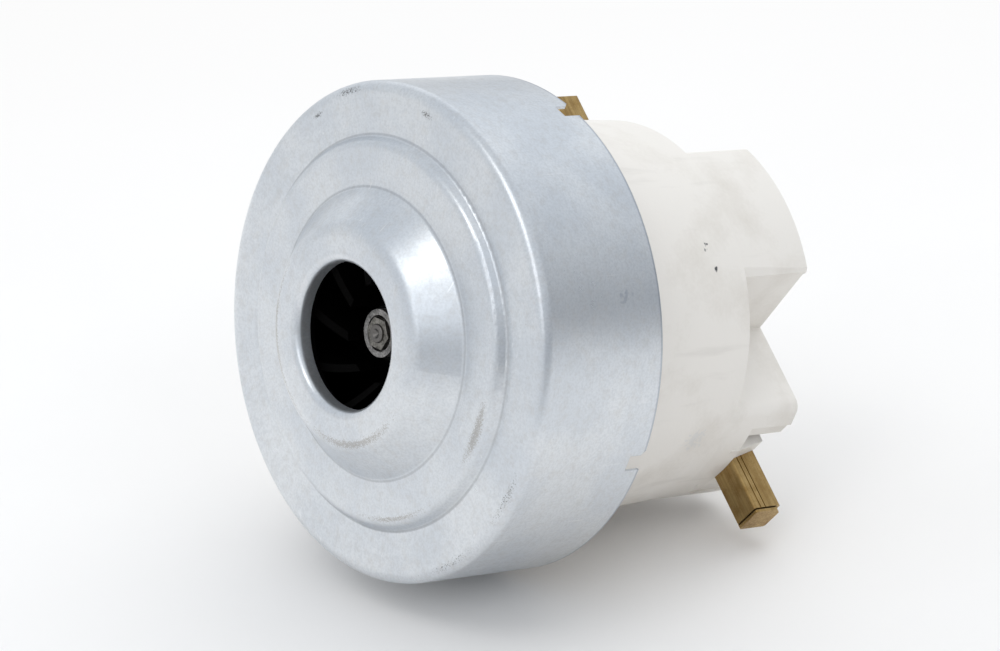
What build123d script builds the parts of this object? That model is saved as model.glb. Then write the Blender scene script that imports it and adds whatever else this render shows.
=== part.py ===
from build123d import *

import os
from math import cos, degrees, radians, sin, sqrt

# Suction motor of a vacuum cleaner: a single stage fan under a pressed steel
# cover, driven by a two pole brush motor in a moulded plastic housing.
# The shaft lies along Y, from the air inlet (low Y) to the rear bearing (high Y).
# The origin is on the shaft axis, half way along the straight side of the cover.
# Angles are seen from the inlet and run from +X towards +Z.

os.makedirs("parts", exist_ok=True)

# Driving sizes of the whole motor, in millimetres
cover_radius = 67.5
cover_depth = 40.6
cover_sheet = 0.8
brush_angle = -40.0
cut_overrun = 1.0
running_gap = 0.6
seat_gap = 0.05
shaft_fit = 0.02

# Stations along the shaft, each measured back from the one before, from the front ring of the cover
impeller_depth = 15.6
diffuser_space = 15.4
front_space = 13.0
stack_length = 32.0
rear_space = 9.5
brush_space = 13.6
rear_wall_space = 9.9

ring_y = -cover_depth / 2
rim_y = ring_y + cover_depth
impeller_back_y = ring_y + impeller_depth
flange_front_y = impeller_back_y + diffuser_space
stack_front_y = flange_front_y + front_space
stack_back_y = stack_front_y + stack_length
collar_y = stack_back_y + rear_space
brush_y = collar_y + brush_space
rear_wall_y = brush_y + rear_wall_space

# Directions across the shaft
arm_angle = brush_angle + 90.0
pocket_angle = brush_angle + 45.0


def across(y, turn=0.0):
    """Plane square to the shaft, facing the inlet, its x turned by an angle."""
    side = (cos(radians(turn)), 0, sin(radians(turn)))
    return Plane(origin=(0, y, 0), x_dir=side, z_dir=(0, -1, 0))


def radial(turn, radius, y):
    """Plane facing outwards at an angle, its x along the shaft."""
    out = (cos(radians(turn)), 0, sin(radians(turn)))
    return Plane(origin=(radius * out[0], y, radius * out[2]), x_dir=(0, 1, 0), z_dir=out)


def lengthwise(turn):
    """Plane through the shaft axis, its x outwards at an angle, its y along the shaft."""
    side = (cos(radians(turn)), 0, sin(radians(turn)))
    return Plane(origin=(0, 0, 0), x_dir=side, z_dir=(-side[2], 0, side[0]))


def polar(radius, angle):
    """Point of a cross section from its radius and its angle in degrees."""
    return (radius * cos(radians(angle)), radius * sin(radians(angle)))


def wedge(radius, middle, half):
    """Corners of a wedge that reaches past a radius, half to each side of an angle."""
    reach = radius / cos(radians(half)) + cut_overrun
    return [(0, 0), polar(reach, middle - half), polar(reach, middle), polar(reach, middle + half)]


def save(builder, name):
    """Name a finished piece and write it."""
    builder.part.label = name
    export_step(builder.part, "parts/" + name + ".step")


# Fan cover: one deep drawn sheet with a stepped front and a raised inlet hub
step_foot_share = 0.7852
plateau_share = 0.7556
cone_foot_share = 0.5822
hub_share = 0.437
inlet_share = 0.29481
plateau_rise = 3.1
hub_rise = 13.2
inlet_lip = 4.9
cover_corner = 3.0
step_foot_bend = 1.3
plateau_bend = 2.4
cone_foot_bend = 1.8
hub_bend = 5.5
inlet_bend = 2.2
notch_count = 4
notch_angle = -16.5
notch_width = 4.7
notch_depth = 5.0
notch_flare = 1.3

step_foot_radius = step_foot_share * cover_radius
plateau_radius = plateau_share * cover_radius
cone_foot_radius = cone_foot_share * cover_radius
hub_radius = hub_share * cover_radius
inlet_radius = inlet_share * cover_radius
hub_y = ring_y - hub_rise
plateau_y = ring_y - plateau_rise
lip_end_y = hub_y + inlet_lip

with BuildPart() as fan_cover:
    with BuildSketch(Plane.XY):
        with BuildLine():
            FilletPolyline(
                (cover_radius, rim_y),
                (cover_radius, ring_y),
                (step_foot_radius, ring_y),
                (plateau_radius, plateau_y),
                (cone_foot_radius, plateau_y),
                (hub_radius, hub_y),
                (inlet_radius, hub_y),
                (inlet_radius, lip_end_y),
                radius=[cover_corner, step_foot_bend, plateau_bend, cone_foot_bend, hub_bend, inlet_bend],
            )
            offset(amount=cover_sheet, side=Side.RIGHT)
        make_face()
    revolve(axis=Axis.Y)
    for number in range(notch_count):
        turn = notch_angle + number * 360.0 / notch_count
        with BuildSketch(radial(turn, cover_radius - cover_sheet - cut_overrun, rim_y)):
            with BuildLine():
                Polyline(
                    (-notch_depth, -notch_width / 2),
                    (-notch_depth, notch_width / 2),
                    (-notch_flare, notch_width / 2),
                    (0, notch_width / 2 + notch_flare),
                    (cut_overrun, notch_width / 2 + notch_flare),
                    (cut_overrun, -notch_width / 2),
                    close=True,
                )
            make_face()
        extrude(amount=cover_sheet + 2 * cut_overrun, mode=Mode.SUBTRACT)
save(fan_cover, "fan_cover")

# Shaft: threaded nose, impeller seat, bearing seats
shaft_radius = 4.0
nose_radius = 2.55
impeller_seat_radius = 3.0
rear_journal_radius = 3.5
washer_radius = 6.5
washer_depth = 3.0
washer_stand = 0.5
washer_recess_radius = 4.95
washer_recess_depth = 1.8
nut_across_flats = 8.0
nut_height = 2.3
shaft_stand = 0.6
centre_radius = 1.35
centre_depth = 1.2
thread_ridge = 0.18

washer_front_y = ring_y - washer_stand
washer_back_y = washer_front_y + washer_depth
nut_back_y = washer_front_y + washer_recess_depth
nut_front_y = nut_back_y - nut_height
shaft_front_y = nut_front_y - shaft_stand

# Bearings: a wide one behind the fan, a smaller one at the commutator end
front_bearing_radius = 11.0
front_bearing_width = 7.0
front_bearing_ball = 1.98
front_bearing_balls = 7
rear_bearing_radius = 9.5
rear_bearing_width = 6.0
rear_bearing_ball = 1.75
rear_bearing_balls = 7
spacer_length = 4.9
spacer_radius = 6.2
bearing_ring_share = 0.27
ball_gap = 0.06
cage_share = 0.62
shield_sheet = 0.3
front_bearing_y = impeller_back_y + spacer_length
rear_journal_gap = 0.5
rear_bearing_y = rear_wall_y - rear_journal_gap
rear_bearing_back_y = rear_bearing_y + rear_bearing_width

with BuildPart() as shaft:
    with BuildSketch(Plane.XY):
        with BuildLine():
            Polyline(
                (0, shaft_front_y + centre_depth),
                (centre_radius, shaft_front_y),
                (nose_radius - thread_ridge, shaft_front_y),
                (nose_radius, shaft_front_y + thread_ridge),
                (nose_radius, washer_back_y + seat_gap),
                (impeller_seat_radius, washer_back_y + seat_gap),
                (impeller_seat_radius, impeller_back_y + seat_gap),
                (shaft_radius, impeller_back_y + seat_gap),
                (shaft_radius, rear_bearing_y),
                (rear_journal_radius, rear_bearing_y),
                (rear_journal_radius, rear_bearing_back_y - seat_gap),
                (0, rear_bearing_back_y - seat_gap),
                close=True,
            )
        make_face()
    revolve(axis=Axis.Y)
save(shaft, "shaft")

with BuildPart() as impeller_washer:
    with BuildSketch(Plane.XY):
        with BuildLine():
            Polyline(
                (nose_radius + shaft_fit, nut_back_y),
                (washer_recess_radius, nut_back_y),
                (washer_recess_radius, washer_front_y),
                (washer_radius, washer_front_y),
                (washer_radius, washer_back_y),
                (nose_radius + shaft_fit, washer_back_y),
                close=True,
            )
        make_face()
    revolve(axis=Axis.Y)
save(impeller_washer, "impeller_washer")

with BuildPart() as impeller_nut:
    with BuildSketch(across(nut_back_y)):
        RegularPolygon(radius=nut_across_flats / 2, side_count=6, major_radius=False)
        Circle(nose_radius + shaft_fit, mode=Mode.SUBTRACT)
    extrude(amount=nut_height)
save(impeller_nut, "impeller_nut")

with BuildPart() as impeller_spacer:
    with BuildSketch(across(front_bearing_y)):
        Circle(spacer_radius)
        Circle(shaft_radius + shaft_fit, mode=Mode.SUBTRACT)
    extrude(amount=spacer_length)
save(impeller_spacer, "impeller_spacer")

# Impeller: moulded hub, back plate and blades, under a thin front shroud
impeller_share = 0.8296
impeller_plate = 1.4
hub_nose_radius = 7.4
hub_cone_share = 0.232
hub_cone_depth = 7.2
hub_foot_share = 0.4286
hub_foot_rise = 1.2
blade_count = 9
blade_thickness = 1.3
blade_inner_share = 0.241
blade_middle_share = 0.5536
blade_middle_sweep = -34.0
blade_sweep = -68.0
shroud_sheet = 0.9
shroud_neck_length = 4.0
shroud_neck_lead = 2.1
shroud_shoulder_depth = 2.4
shroud_exit_depth = 6.6

impeller_radius = impeller_share * cover_radius
hub_cone_radius = hub_cone_share * impeller_radius
hub_foot_radius = hub_foot_share * impeller_radius
blade_inner_radius = blade_inner_share * impeller_radius
blade_middle_radius = blade_middle_share * impeller_radius
shroud_shoulder_radius = blade_middle_radius
neck_radius = inlet_radius + cover_sheet + running_gap
neck_front_y = lip_end_y - shroud_neck_lead
neck_back_y = neck_front_y + shroud_neck_length
shroud_shoulder_y = ring_y + shroud_shoulder_depth
shroud_exit_y = ring_y + shroud_exit_depth
plate_front_y = impeller_back_y - impeller_plate

with BuildPart() as impeller_shroud:
    with BuildSketch(Plane.XY):
        with BuildLine():
            Polyline(
                (neck_radius, neck_front_y),
                (neck_radius + shroud_sheet, neck_front_y),
                (neck_radius + shroud_sheet, neck_back_y),
                (shroud_shoulder_radius, shroud_shoulder_y - shroud_sheet),
                (impeller_radius, shroud_exit_y - shroud_sheet),
                (impeller_radius, shroud_exit_y),
                (shroud_shoulder_radius - shroud_sheet / 2, shroud_shoulder_y),
                (neck_radius, neck_back_y + shroud_sheet / 2),
                close=True,
            )
        make_face()
    revolve(axis=Axis.Y)
save(impeller_shroud, "impeller_shroud")

with BuildPart() as impeller:
    for number in range(blade_count):
        start = number * 360.0 / blade_count
        stations = [
            (blade_inner_radius, start),
            (blade_middle_radius, start + blade_middle_sweep),
            (impeller_radius - seat_gap, start + blade_sweep),
        ]
        leading = [polar(radius, angle - degrees(blade_thickness / radius)) for radius, angle in stations]
        trailing = [polar(radius, angle + degrees(blade_thickness / radius)) for radius, angle in stations]
        with BuildSketch(across(impeller_back_y)):
            with BuildLine():
                ThreePointArc(*leading)
                Line(leading[2], trailing[2])
                ThreePointArc(trailing[2], trailing[1], trailing[0])
                Line(trailing[0], leading[0])
            make_face()
        extrude(amount=impeller_back_y - neck_front_y)
    with BuildSketch(Plane.XY):
        with BuildLine():
            Polyline(
                (hub_nose_radius, impeller_back_y),
                (hub_nose_radius, washer_back_y + washer_stand),
                (neck_radius + shroud_sheet / 2, neck_back_y + shroud_sheet),
                (shroud_shoulder_radius - shroud_sheet / 2, shroud_shoulder_y + seat_gap),
                (impeller_radius, shroud_exit_y + seat_gap),
                (impeller_radius, impeller_back_y),
                close=True,
            )
        make_face()
    revolve(axis=Axis.Y, mode=Mode.INTERSECT)
    with BuildSketch(Plane.XY):
        with BuildLine():
            Polyline(
                (impeller_seat_radius + shaft_fit, impeller_back_y),
                (impeller_seat_radius + shaft_fit, washer_back_y),
                (hub_nose_radius, washer_back_y),
                (hub_cone_radius, washer_back_y + hub_cone_depth),
                (hub_foot_radius, plate_front_y - hub_foot_rise),
                (impeller_radius, plate_front_y),
                (impeller_radius, impeller_back_y),
                close=True,
            )
        make_face()
    revolve(axis=Axis.Y)
save(impeller, "impeller")

# Diffuser: a disc behind the impeller with vanes round its edge and behind it
diffuser_share = 0.9037
diffuser_bore_radius = 17.0
diffuser_sheet = 1.8
diffuser_gap = 1.4
edge_vane_count = 15
edge_vane_stand = 0.7
edge_vane_length = 11.0
edge_vane_turn = 28.0
edge_vane_height = 10.5
return_vane_count = 8
return_vane_inner_share = 0.5574
return_vane_middle_share = 0.7869
return_vane_outer_share = 0.9344
return_vane_middle_sweep = 17.0
return_vane_sweep = 44.0
vane_thickness = 1.3

diffuser_disc_radius = diffuser_share * cover_radius
edge_vane_radius = diffuser_disc_radius + edge_vane_stand
return_vane_inner = return_vane_inner_share * diffuser_disc_radius
return_vane_middle = return_vane_middle_share * diffuser_disc_radius
return_vane_outer = return_vane_outer_share * diffuser_disc_radius
diffuser_front_y = impeller_back_y + diffuser_gap
diffuser_back_y = diffuser_front_y + diffuser_sheet

with BuildPart() as diffuser:
    with BuildSketch(across(diffuser_back_y)):
        Circle(diffuser_disc_radius)
        Circle(diffuser_bore_radius, mode=Mode.SUBTRACT)
    extrude(amount=diffuser_sheet)
    for number in range(edge_vane_count):
        turn = number * 360.0 / edge_vane_count
        with BuildSketch(across(diffuser_back_y, turn)):
            with Locations((edge_vane_radius, 0)):
                Rectangle(vane_thickness, edge_vane_length, rotation=edge_vane_turn)
        extrude(amount=diffuser_sheet + edge_vane_height)
    for number in range(return_vane_count):
        start = number * 360.0 / return_vane_count
        stations = [
            (return_vane_inner, start),
            (return_vane_middle, start + return_vane_middle_sweep),
            (return_vane_outer, start + return_vane_sweep),
        ]
        near = [polar(radius, angle - degrees(vane_thickness / radius)) for radius, angle in stations]
        far = [polar(radius, angle + degrees(vane_thickness / radius)) for radius, angle in stations]
        with BuildSketch(across(flange_front_y)):
            with BuildLine():
                ThreePointArc(*near)
                Line(near[2], far[2])
                ThreePointArc(far[2], far[1], far[0])
                Line(far[0], near[0])
            make_face()
        extrude(amount=flange_front_y - diffuser_back_y)
save(diffuser, "diffuser")

# Housing: flange, drafted cylinder, closed collar and the cross shaped rear box
flange_thickness = 3.0
flange_gap = 0.05
housing_share = 0.8296
housing_draft = 2.7
arm_draft = 0.8
housing_wall = 2.6
collar_floor = 2.2
ledge_thickness = 4.0
ledge_reach = 0.8
bracket_sheet = 2.0
bracket_inset = 4.5
stator_share = 0.80357
box_wall = 2.2
arm_tip_half = 20.5
arm_spread = 1.8
arm_root_lead = 1.1
strip_width = 1.8
strip_height = 2.2
strip_step = 0.4
strip_foot = 0.9
rim_chamfer = 0.5
brush_arm_spread = 0.6
brush_arm_corner = 3.6
sill_height = 8.8
fin_thickness = 6.1
far_arm_inset = 10.5

housing_front_radius = housing_share * cover_radius
collar_radius = housing_front_radius - housing_draft
rear_arm_radius = collar_radius - arm_draft
bracket_radius = housing_front_radius - bracket_inset
stator_radius = stator_share * housing_front_radius
ledge_radius = stator_radius + ledge_reach
arm_root_half = arm_tip_half + arm_spread
brush_arm_half = arm_root_half + brush_arm_spread
arm_root_reach = brush_arm_half + arm_root_lead
sill_half = brush_arm_half - fin_thickness
flange_radius = cover_radius - cover_sheet - flange_gap
flange_back_y = flange_front_y + flange_thickness
ledge_y = flange_front_y + bracket_sheet
ledge_back_y = ledge_y + ledge_thickness
collar_floor_y = collar_y - collar_floor
rear_inside_y = rear_wall_y - box_wall
draft = (housing_front_radius - collar_radius) / (collar_y - flange_back_y)
ledge_back_radius = housing_front_radius - draft * (ledge_back_y - flange_back_y) - housing_wall
box_reach = cover_radius
strip_reach = sqrt(collar_radius**2 - (arm_tip_half - strip_width) ** 2)
strip_edge = strip_reach - strip_height - strip_foot
arm_outline = [
    (arm_root_half, arm_root_reach),
    (arm_tip_half - strip_step, strip_edge),
    (arm_tip_half, strip_edge),
    (arm_tip_half, strip_reach - strip_height),
    (arm_tip_half - strip_width, strip_reach),
    (arm_tip_half - strip_width, box_reach),
]

# Brush sleeves and what they pass through
sleeve_axial = 9.6
sleeve_tangential = 9.2
sleeve_wall = 0.8
sleeve_stand = 1.0
cradle_half = 9.3
cradle_length = 6.5
cradle_slope = 2.1
cradle_inset = 0.6
holder_inner_share = 0.5524
holder_length_share = 0.2857
holder_half = 9.0
holder_wall = 3.2
shelf_thickness = 2.2

sleeve_outer_end = cover_radius + sleeve_stand
holder_inner = holder_inner_share * rear_arm_radius
holder_length = holder_length_share * rear_arm_radius
sleeve_front_y = brush_y - sleeve_axial / 2
sleeve_back_y = sleeve_front_y + sleeve_axial
holder_front_y = sleeve_front_y - holder_wall
holder_back_y = sleeve_back_y + holder_wall
shelf_y = holder_front_y
cradle_outer = collar_radius - cradle_inset

# Screws and the holes that take them
screw_radius = 2.0
screw_hole_radius = 2.05
screw_head_radius = 3.7
screw_head_height = 2.4
drive_length_share = 1.4
drive_width_share = 0.25
bracket_screw_inset = 3.9
countersunk_head_radius = 3.4
bracket_screw_count = 4
bracket_boss_radius = 4.2
bracket_boss_length = 8.0
stator_screw_inset = 4.0
stator_boss_radius = 4.4
bridge_inset = 11.5
bridge_screw_inset = 8.0
bridge_boss_radius = 4.4
bridge_boss_length = 9.0
bridge_cup_radius = 12.3
bridge_clearance = 0.7

bracket_screw_circle = bracket_radius - bracket_screw_inset
stator_screw_circle = stator_radius - stator_screw_inset
bridge_half_length = rear_arm_radius - bridge_inset
bridge_screw_reach = bridge_half_length - bridge_screw_inset

# Air slots in the rear wall and in the collar floor, terminal slots
arm_slot_width = 3.0
arm_slot_length_share = 0.5143
arm_slot_middle_share = 0.581
arm_slot_side_shares = (0.58, 0.79)
pocket_slot_width = 2.8
pocket_slot_length = 22.0
pocket_slot_inset = 5.6
terminal_width = 6.3
terminal_sheet = 0.8
terminal_inset = 6.7
terminal_spread = 8.0
window_half = 12.0
window_lead = 4.0

arm_slot_length = arm_slot_length_share * rear_arm_radius
arm_slot_middle = arm_slot_middle_share * rear_arm_radius
pocket_slot_radius = collar_radius - pocket_slot_inset
terminal_reach = rear_arm_radius - terminal_inset
window_start = holder_inner - window_lead

with BuildPart() as housing:
    # The two plain arms of the rear box, trimmed to the drafted round
    with BuildSketch(across(rear_wall_y, brush_angle)):
        with BuildLine():
            Polyline(
                *arm_outline,
                *[(-b, w) for b, w in reversed(arm_outline)],
                *[(-b, -w) for b, w in arm_outline],
                *[(b, -w) for b, w in reversed(arm_outline)],
                close=True,
            )
        make_face()
    extrude(amount=rear_wall_y - collar_floor_y)
    with BuildSketch(Plane.XY):
        with BuildLine():
            Polyline(
                (0, collar_floor_y),
                (collar_radius, collar_floor_y),
                (collar_radius, collar_y),
                (rear_arm_radius, rear_wall_y),
                (0, rear_wall_y),
                close=True,
            )
        make_face()
    revolve(axis=Axis.Y, mode=Mode.INTERSECT)
    # The two brush arms, a little longer, with rounded corners
    with BuildSketch(across(rear_wall_y, brush_angle)) as brush_arms:
        Rectangle(2 * box_reach, 2 * brush_arm_half)
        Circle(collar_radius, mode=Mode.INTERSECT)
        fillet(brush_arms.vertices(), brush_arm_corner)
    extrude(amount=rear_wall_y - collar_floor_y)
    # Flange, cylinder and collar
    with BuildSketch(Plane.XY):
        with BuildLine():
            Polyline(
                (0, flange_front_y),
                (flange_radius, flange_front_y),
                (flange_radius, flange_back_y),
                (housing_front_radius, flange_back_y),
                (collar_radius, collar_y - rim_chamfer),
                (collar_radius - rim_chamfer, collar_y),
                (0, collar_y),
                close=True,
            )
        make_face()
    revolve(axis=Axis.Y)
    # Hollow inside: bracket seat, stator space
    with BuildSketch(Plane.XY):
        with BuildLine():
            Polyline(
                (0, flange_front_y - cut_overrun),
                (bracket_radius + running_gap / 2, flange_front_y - cut_overrun),
                (bracket_radius + running_gap / 2, ledge_y),
                (ledge_radius, ledge_y),
                (ledge_radius, ledge_back_y),
                (ledge_back_radius, ledge_back_y),
                (collar_radius - housing_wall, collar_floor_y),
                (0, collar_floor_y),
                close=True,
            )
        make_face()
    revolve(axis=Axis.Y, mode=Mode.SUBTRACT)
    # Hollow of the cross shaped box, up to its rear wall
    with BuildSketch(across(rear_inside_y, brush_angle)):
        Rectangle(2 * (arm_tip_half - box_wall), 2 * box_reach)
        Rectangle(2 * box_reach, 2 * (brush_arm_half - box_wall))
        Circle(rear_arm_radius - housing_wall, mode=Mode.INTERSECT)
    extrude(amount=rear_inside_y - collar_floor_y + cut_overrun, mode=Mode.SUBTRACT)
    # Shelf that carries the brush holders, with its opening for the commutator
    with BuildSketch(across(shelf_y, brush_angle)):
        Rectangle(2 * box_reach, 2 * (brush_arm_half - box_wall / 2))
        Circle(rear_arm_radius - housing_wall / 2, mode=Mode.INTERSECT)
        Rectangle(2 * holder_inner, 2 * brush_arm_half, mode=Mode.SUBTRACT)
    extrude(amount=shelf_thickness)
    # Open ends of the brush arms above the sill, and the windows over the holders
    near_end = (1, rear_arm_radius - housing_wall, sill_half)
    far_end = (-1, rear_arm_radius - far_arm_inset, brush_arm_half + cut_overrun)
    for side, end_reach, end_half in (near_end, far_end):
        with BuildSketch(across(rear_wall_y + cut_overrun, brush_angle)):
            with Locations((side * (window_start + box_reach) / 2, 0)):
                Rectangle(box_reach - window_start, 2 * window_half)
            with Locations((side * (end_reach + box_reach) / 2, 0)):
                Rectangle(box_reach - end_reach, 2 * end_half)
        extrude(amount=rear_wall_y + cut_overrun - sill_height - collar_y, mode=Mode.SUBTRACT)
        with BuildSketch(lengthwise(brush_angle)):
            with BuildLine():
                Polyline(
                    (side * (cradle_outer - cradle_length), shelf_y),
                    (side * cradle_outer, shelf_y),
                    (side * cradle_outer, sleeve_front_y),
                    (side * (cradle_outer - cradle_slope), sleeve_back_y),
                    (side * (cradle_outer - cradle_length), sleeve_back_y),
                    close=True,
                )
            make_face()
        extrude(amount=cradle_half, both=True)
    # Bosses for the bracket, the stator and the rear bridge
    with BuildSketch(across(ledge_y)):
        with PolarLocations(bracket_screw_circle, bracket_screw_count, start_angle=pocket_angle):
            Circle(bracket_boss_radius)
        Circle(housing_front_radius - housing_wall, mode=Mode.INTERSECT)
    extrude(amount=-bracket_boss_length)
    with BuildSketch(across(collar_floor_y)):
        with PolarLocations(stator_screw_circle, 4, start_angle=pocket_angle):
            Circle(stator_boss_radius)
    extrude(amount=collar_floor_y - stack_back_y)
    with BuildSketch(across(rear_inside_y, arm_angle)):
        with Locations((bridge_screw_reach, 0), (-bridge_screw_reach, 0)):
            Circle(bridge_boss_radius)
    extrude(amount=bridge_boss_length)
    # Holes
    with BuildSketch(across(flange_front_y)):
        with PolarLocations(bracket_screw_circle, bracket_screw_count, start_angle=pocket_angle):
            Circle(screw_hole_radius)
    extrude(amount=-bracket_sheet - bracket_boss_length, mode=Mode.SUBTRACT)
    with BuildSketch(across(collar_y + cut_overrun)):
        with PolarLocations(stator_screw_circle, 4, start_angle=pocket_angle):
            Circle(screw_hole_radius)
    extrude(amount=collar_y - stack_back_y + 2 * cut_overrun, mode=Mode.SUBTRACT)
    with BuildSketch(across(rear_wall_y + cut_overrun, arm_angle)):
        Circle(bridge_cup_radius + bridge_clearance)
    extrude(amount=box_wall + 2 * cut_overrun, mode=Mode.SUBTRACT)
    with BuildSketch(across(rear_wall_y + cut_overrun, arm_angle)):
        with Locations((bridge_screw_reach, 0), (-bridge_screw_reach, 0)):
            Circle(screw_hole_radius)
    extrude(amount=box_wall + bridge_boss_length + 2 * cut_overrun, mode=Mode.SUBTRACT)
    # Air slots and terminal slots
    with BuildSketch(across(rear_wall_y + cut_overrun, arm_angle)):
        for slot_side_share in arm_slot_side_shares:
            with GridLocations(2 * arm_slot_middle, 2 * slot_side_share * arm_tip_half, 2, 2):
                SlotOverall(arm_slot_length, arm_slot_width)
        with Locations((-terminal_reach, terminal_spread), (-terminal_reach, -terminal_spread)):
            Rectangle(terminal_sheet + 2 * seat_gap, terminal_width + 2 * seat_gap)
    extrude(amount=box_wall + 2 * cut_overrun, mode=Mode.SUBTRACT)
    with BuildSketch(across(collar_y + cut_overrun)):
        with PolarLocations(pocket_slot_radius, 4, start_angle=pocket_angle):
            SlotOverall(pocket_slot_length, pocket_slot_width, rotation=90)
    extrude(amount=collar_floor + 2 * cut_overrun, mode=Mode.SUBTRACT)
    # The sleeves pass through their cradles
    with BuildSketch(radial(brush_angle, -box_reach, brush_y)):
        Rectangle(sleeve_axial + 2 * seat_gap, sleeve_tangential + 2 * seat_gap)
    extrude(amount=2 * box_reach, mode=Mode.SUBTRACT)
save(housing, "housing")

# Front bearing bracket: pressed steel, its cup reaching forward through the diffuser
bracket_cup_wall = 1.6
bracket_lip_wall = 1.4
bracket_dish = 3.4
window_foot = 2.5
window_rim = 8.5
window_half_angle = 31.0

cup_radius = front_bearing_radius + shaft_fit
cup_front_y = front_bearing_y - bracket_lip_wall
lip_radius = front_bearing_radius - bracket_cup_wall
window_inner = cup_radius + bracket_cup_wall + bracket_dish + window_foot
window_outer = bracket_radius - window_rim

with BuildPart() as front_bearing_bracket:
    with BuildSketch(Plane.XY):
        with BuildLine():
            Polyline(
                (lip_radius, cup_front_y),
                (cup_radius + bracket_cup_wall, cup_front_y),
                (cup_radius + bracket_cup_wall, flange_front_y - bracket_dish),
                (cup_radius + bracket_cup_wall + bracket_dish, flange_front_y),
                (bracket_radius, flange_front_y),
                (bracket_radius, ledge_y),
                (cup_radius + bracket_dish, ledge_y),
                (cup_radius, ledge_y - bracket_dish),
                (cup_radius, front_bearing_y),
                (lip_radius, front_bearing_y),
                close=True,
            )
        make_face()
    revolve(axis=Axis.Y)
    for number in range(4):
        with BuildSketch(across(ledge_y + cut_overrun)):
            Circle(window_outer)
            Circle(window_inner, mode=Mode.SUBTRACT)
            with BuildLine():
                Polyline(*wedge(window_outer, brush_angle + number * 90.0, window_half_angle), close=True)
            make_face(mode=Mode.INTERSECT)
        extrude(amount=bracket_sheet + bracket_dish + 2 * cut_overrun, mode=Mode.SUBTRACT)
    with Locations(across(flange_front_y)):
        with PolarLocations(bracket_screw_circle, bracket_screw_count, start_angle=pocket_angle):
            CounterSinkHole(
                radius=screw_hole_radius + seat_gap,
                counter_sink_radius=countersunk_head_radius + seat_gap,
                counter_sink_angle=90,
                depth=bracket_sheet + cut_overrun,
            )
save(front_bearing_bracket, "front_bearing_bracket")

with BuildPart() as bracket_screws:
    with BuildSketch(across(flange_front_y)):
        with PolarLocations(bracket_screw_circle, bracket_screw_count, start_angle=pocket_angle):
            Circle(countersunk_head_radius)
    extrude(amount=screw_radius - countersunk_head_radius, taper=45)
    with BuildSketch(across(flange_front_y + countersunk_head_radius - screw_radius)):
        with PolarLocations(bracket_screw_circle, bracket_screw_count, start_angle=pocket_angle):
            Circle(screw_radius)
    extrude(amount=-bracket_boss_length)
save(bracket_screws, "bracket_screws")


def bearing(prefix, front_y, outer, width, bore, ball, count):
    """Deep groove ball bearing: two rings, balls, cage and shields."""
    wall = bearing_ring_share * (outer - bore)
    pitch = (outer + bore) / 2
    middle_y = front_y + width / 2
    half_cage = cage_share * (pitch - bore - wall)
    cage_width = ball + 2 * ball_gap + shield_sheet
    for name, low, high in (("outer", outer - wall, outer), ("inner", bore + shaft_fit, bore + wall)):
        with BuildPart() as ring:
            with BuildSketch(across(front_y)):
                Circle(high)
                Circle(low, mode=Mode.SUBTRACT)
            extrude(amount=-width)
            with BuildSketch(Plane.XY):
                with Locations((pitch, middle_y)):
                    Circle(ball + ball_gap)
            revolve(axis=Axis.Y, mode=Mode.SUBTRACT)
        save(ring, prefix + "_bearing_" + name + "_ring")
    with BuildPart() as balls:
        with Locations(across(middle_y)):
            with PolarLocations(pitch, count):
                Sphere(ball)
    save(balls, prefix + "_bearing_balls")
    with BuildPart() as cage:
        with BuildSketch(across(middle_y)):
            Circle(pitch + half_cage)
            Circle(pitch - half_cage, mode=Mode.SUBTRACT)
        extrude(amount=cage_width, both=True)
        for number in range(count):
            with BuildSketch(radial(-number * 360.0 / count, pitch - 2 * half_cage, middle_y)):
                Circle(ball + ball_gap)
            extrude(amount=4 * half_cage, mode=Mode.SUBTRACT)
    save(cage, prefix + "_bearing_cage")
    with BuildPart() as shields:
        for shield_y in (front_y + 2 * shield_sheet, front_y + width - shield_sheet):
            with BuildSketch(across(shield_y)):
                Circle(outer - wall - seat_gap)
                Circle(bore + wall + shield_sheet, mode=Mode.SUBTRACT)
            extrude(amount=shield_sheet)
    save(shields, prefix + "_bearing_shields")


bearing(
    "front",
    front_bearing_y,
    front_bearing_radius,
    front_bearing_width,
    shaft_radius,
    front_bearing_ball,
    front_bearing_balls,
)
bearing(
    "rear",
    rear_bearing_y,
    rear_bearing_radius,
    rear_bearing_width,
    rear_journal_radius,
    rear_bearing_ball,
    rear_bearing_balls,
)

# Rear bearing: rubber cap in the cup of a steel bridge screwed over the rear wall
cap_wall = 1.25
cap_relief = 0.7
cap_shoulder = 1.2
bridge_sheet = 1.8
bridge_half_width = 9.4
bridge_cup_hole = 6.0
bridge_rim = 1.6

cap_radius = rear_bearing_radius + shaft_fit + cap_wall
cap_back_y = rear_bearing_back_y + cap_relief + cap_wall
bridge_y = rear_wall_y + bridge_sheet

with BuildPart() as rear_bearing_rubber_cap:
    with BuildSketch(Plane.XY):
        with BuildLine():
            Polyline(
                (rear_bearing_radius + shaft_fit, rear_bearing_y),
                (cap_radius, rear_bearing_y),
                (cap_radius, cap_back_y),
                (0, cap_back_y),
                (0, cap_back_y - cap_wall),
                (rear_bearing_radius - cap_shoulder, cap_back_y - cap_wall),
                (rear_bearing_radius - cap_shoulder, rear_bearing_back_y),
                (rear_bearing_radius + shaft_fit, rear_bearing_back_y),
                close=True,
            )
        make_face()
    revolve(axis=Axis.Y)
save(rear_bearing_rubber_cap, "rear_bearing_rubber_cap")

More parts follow.
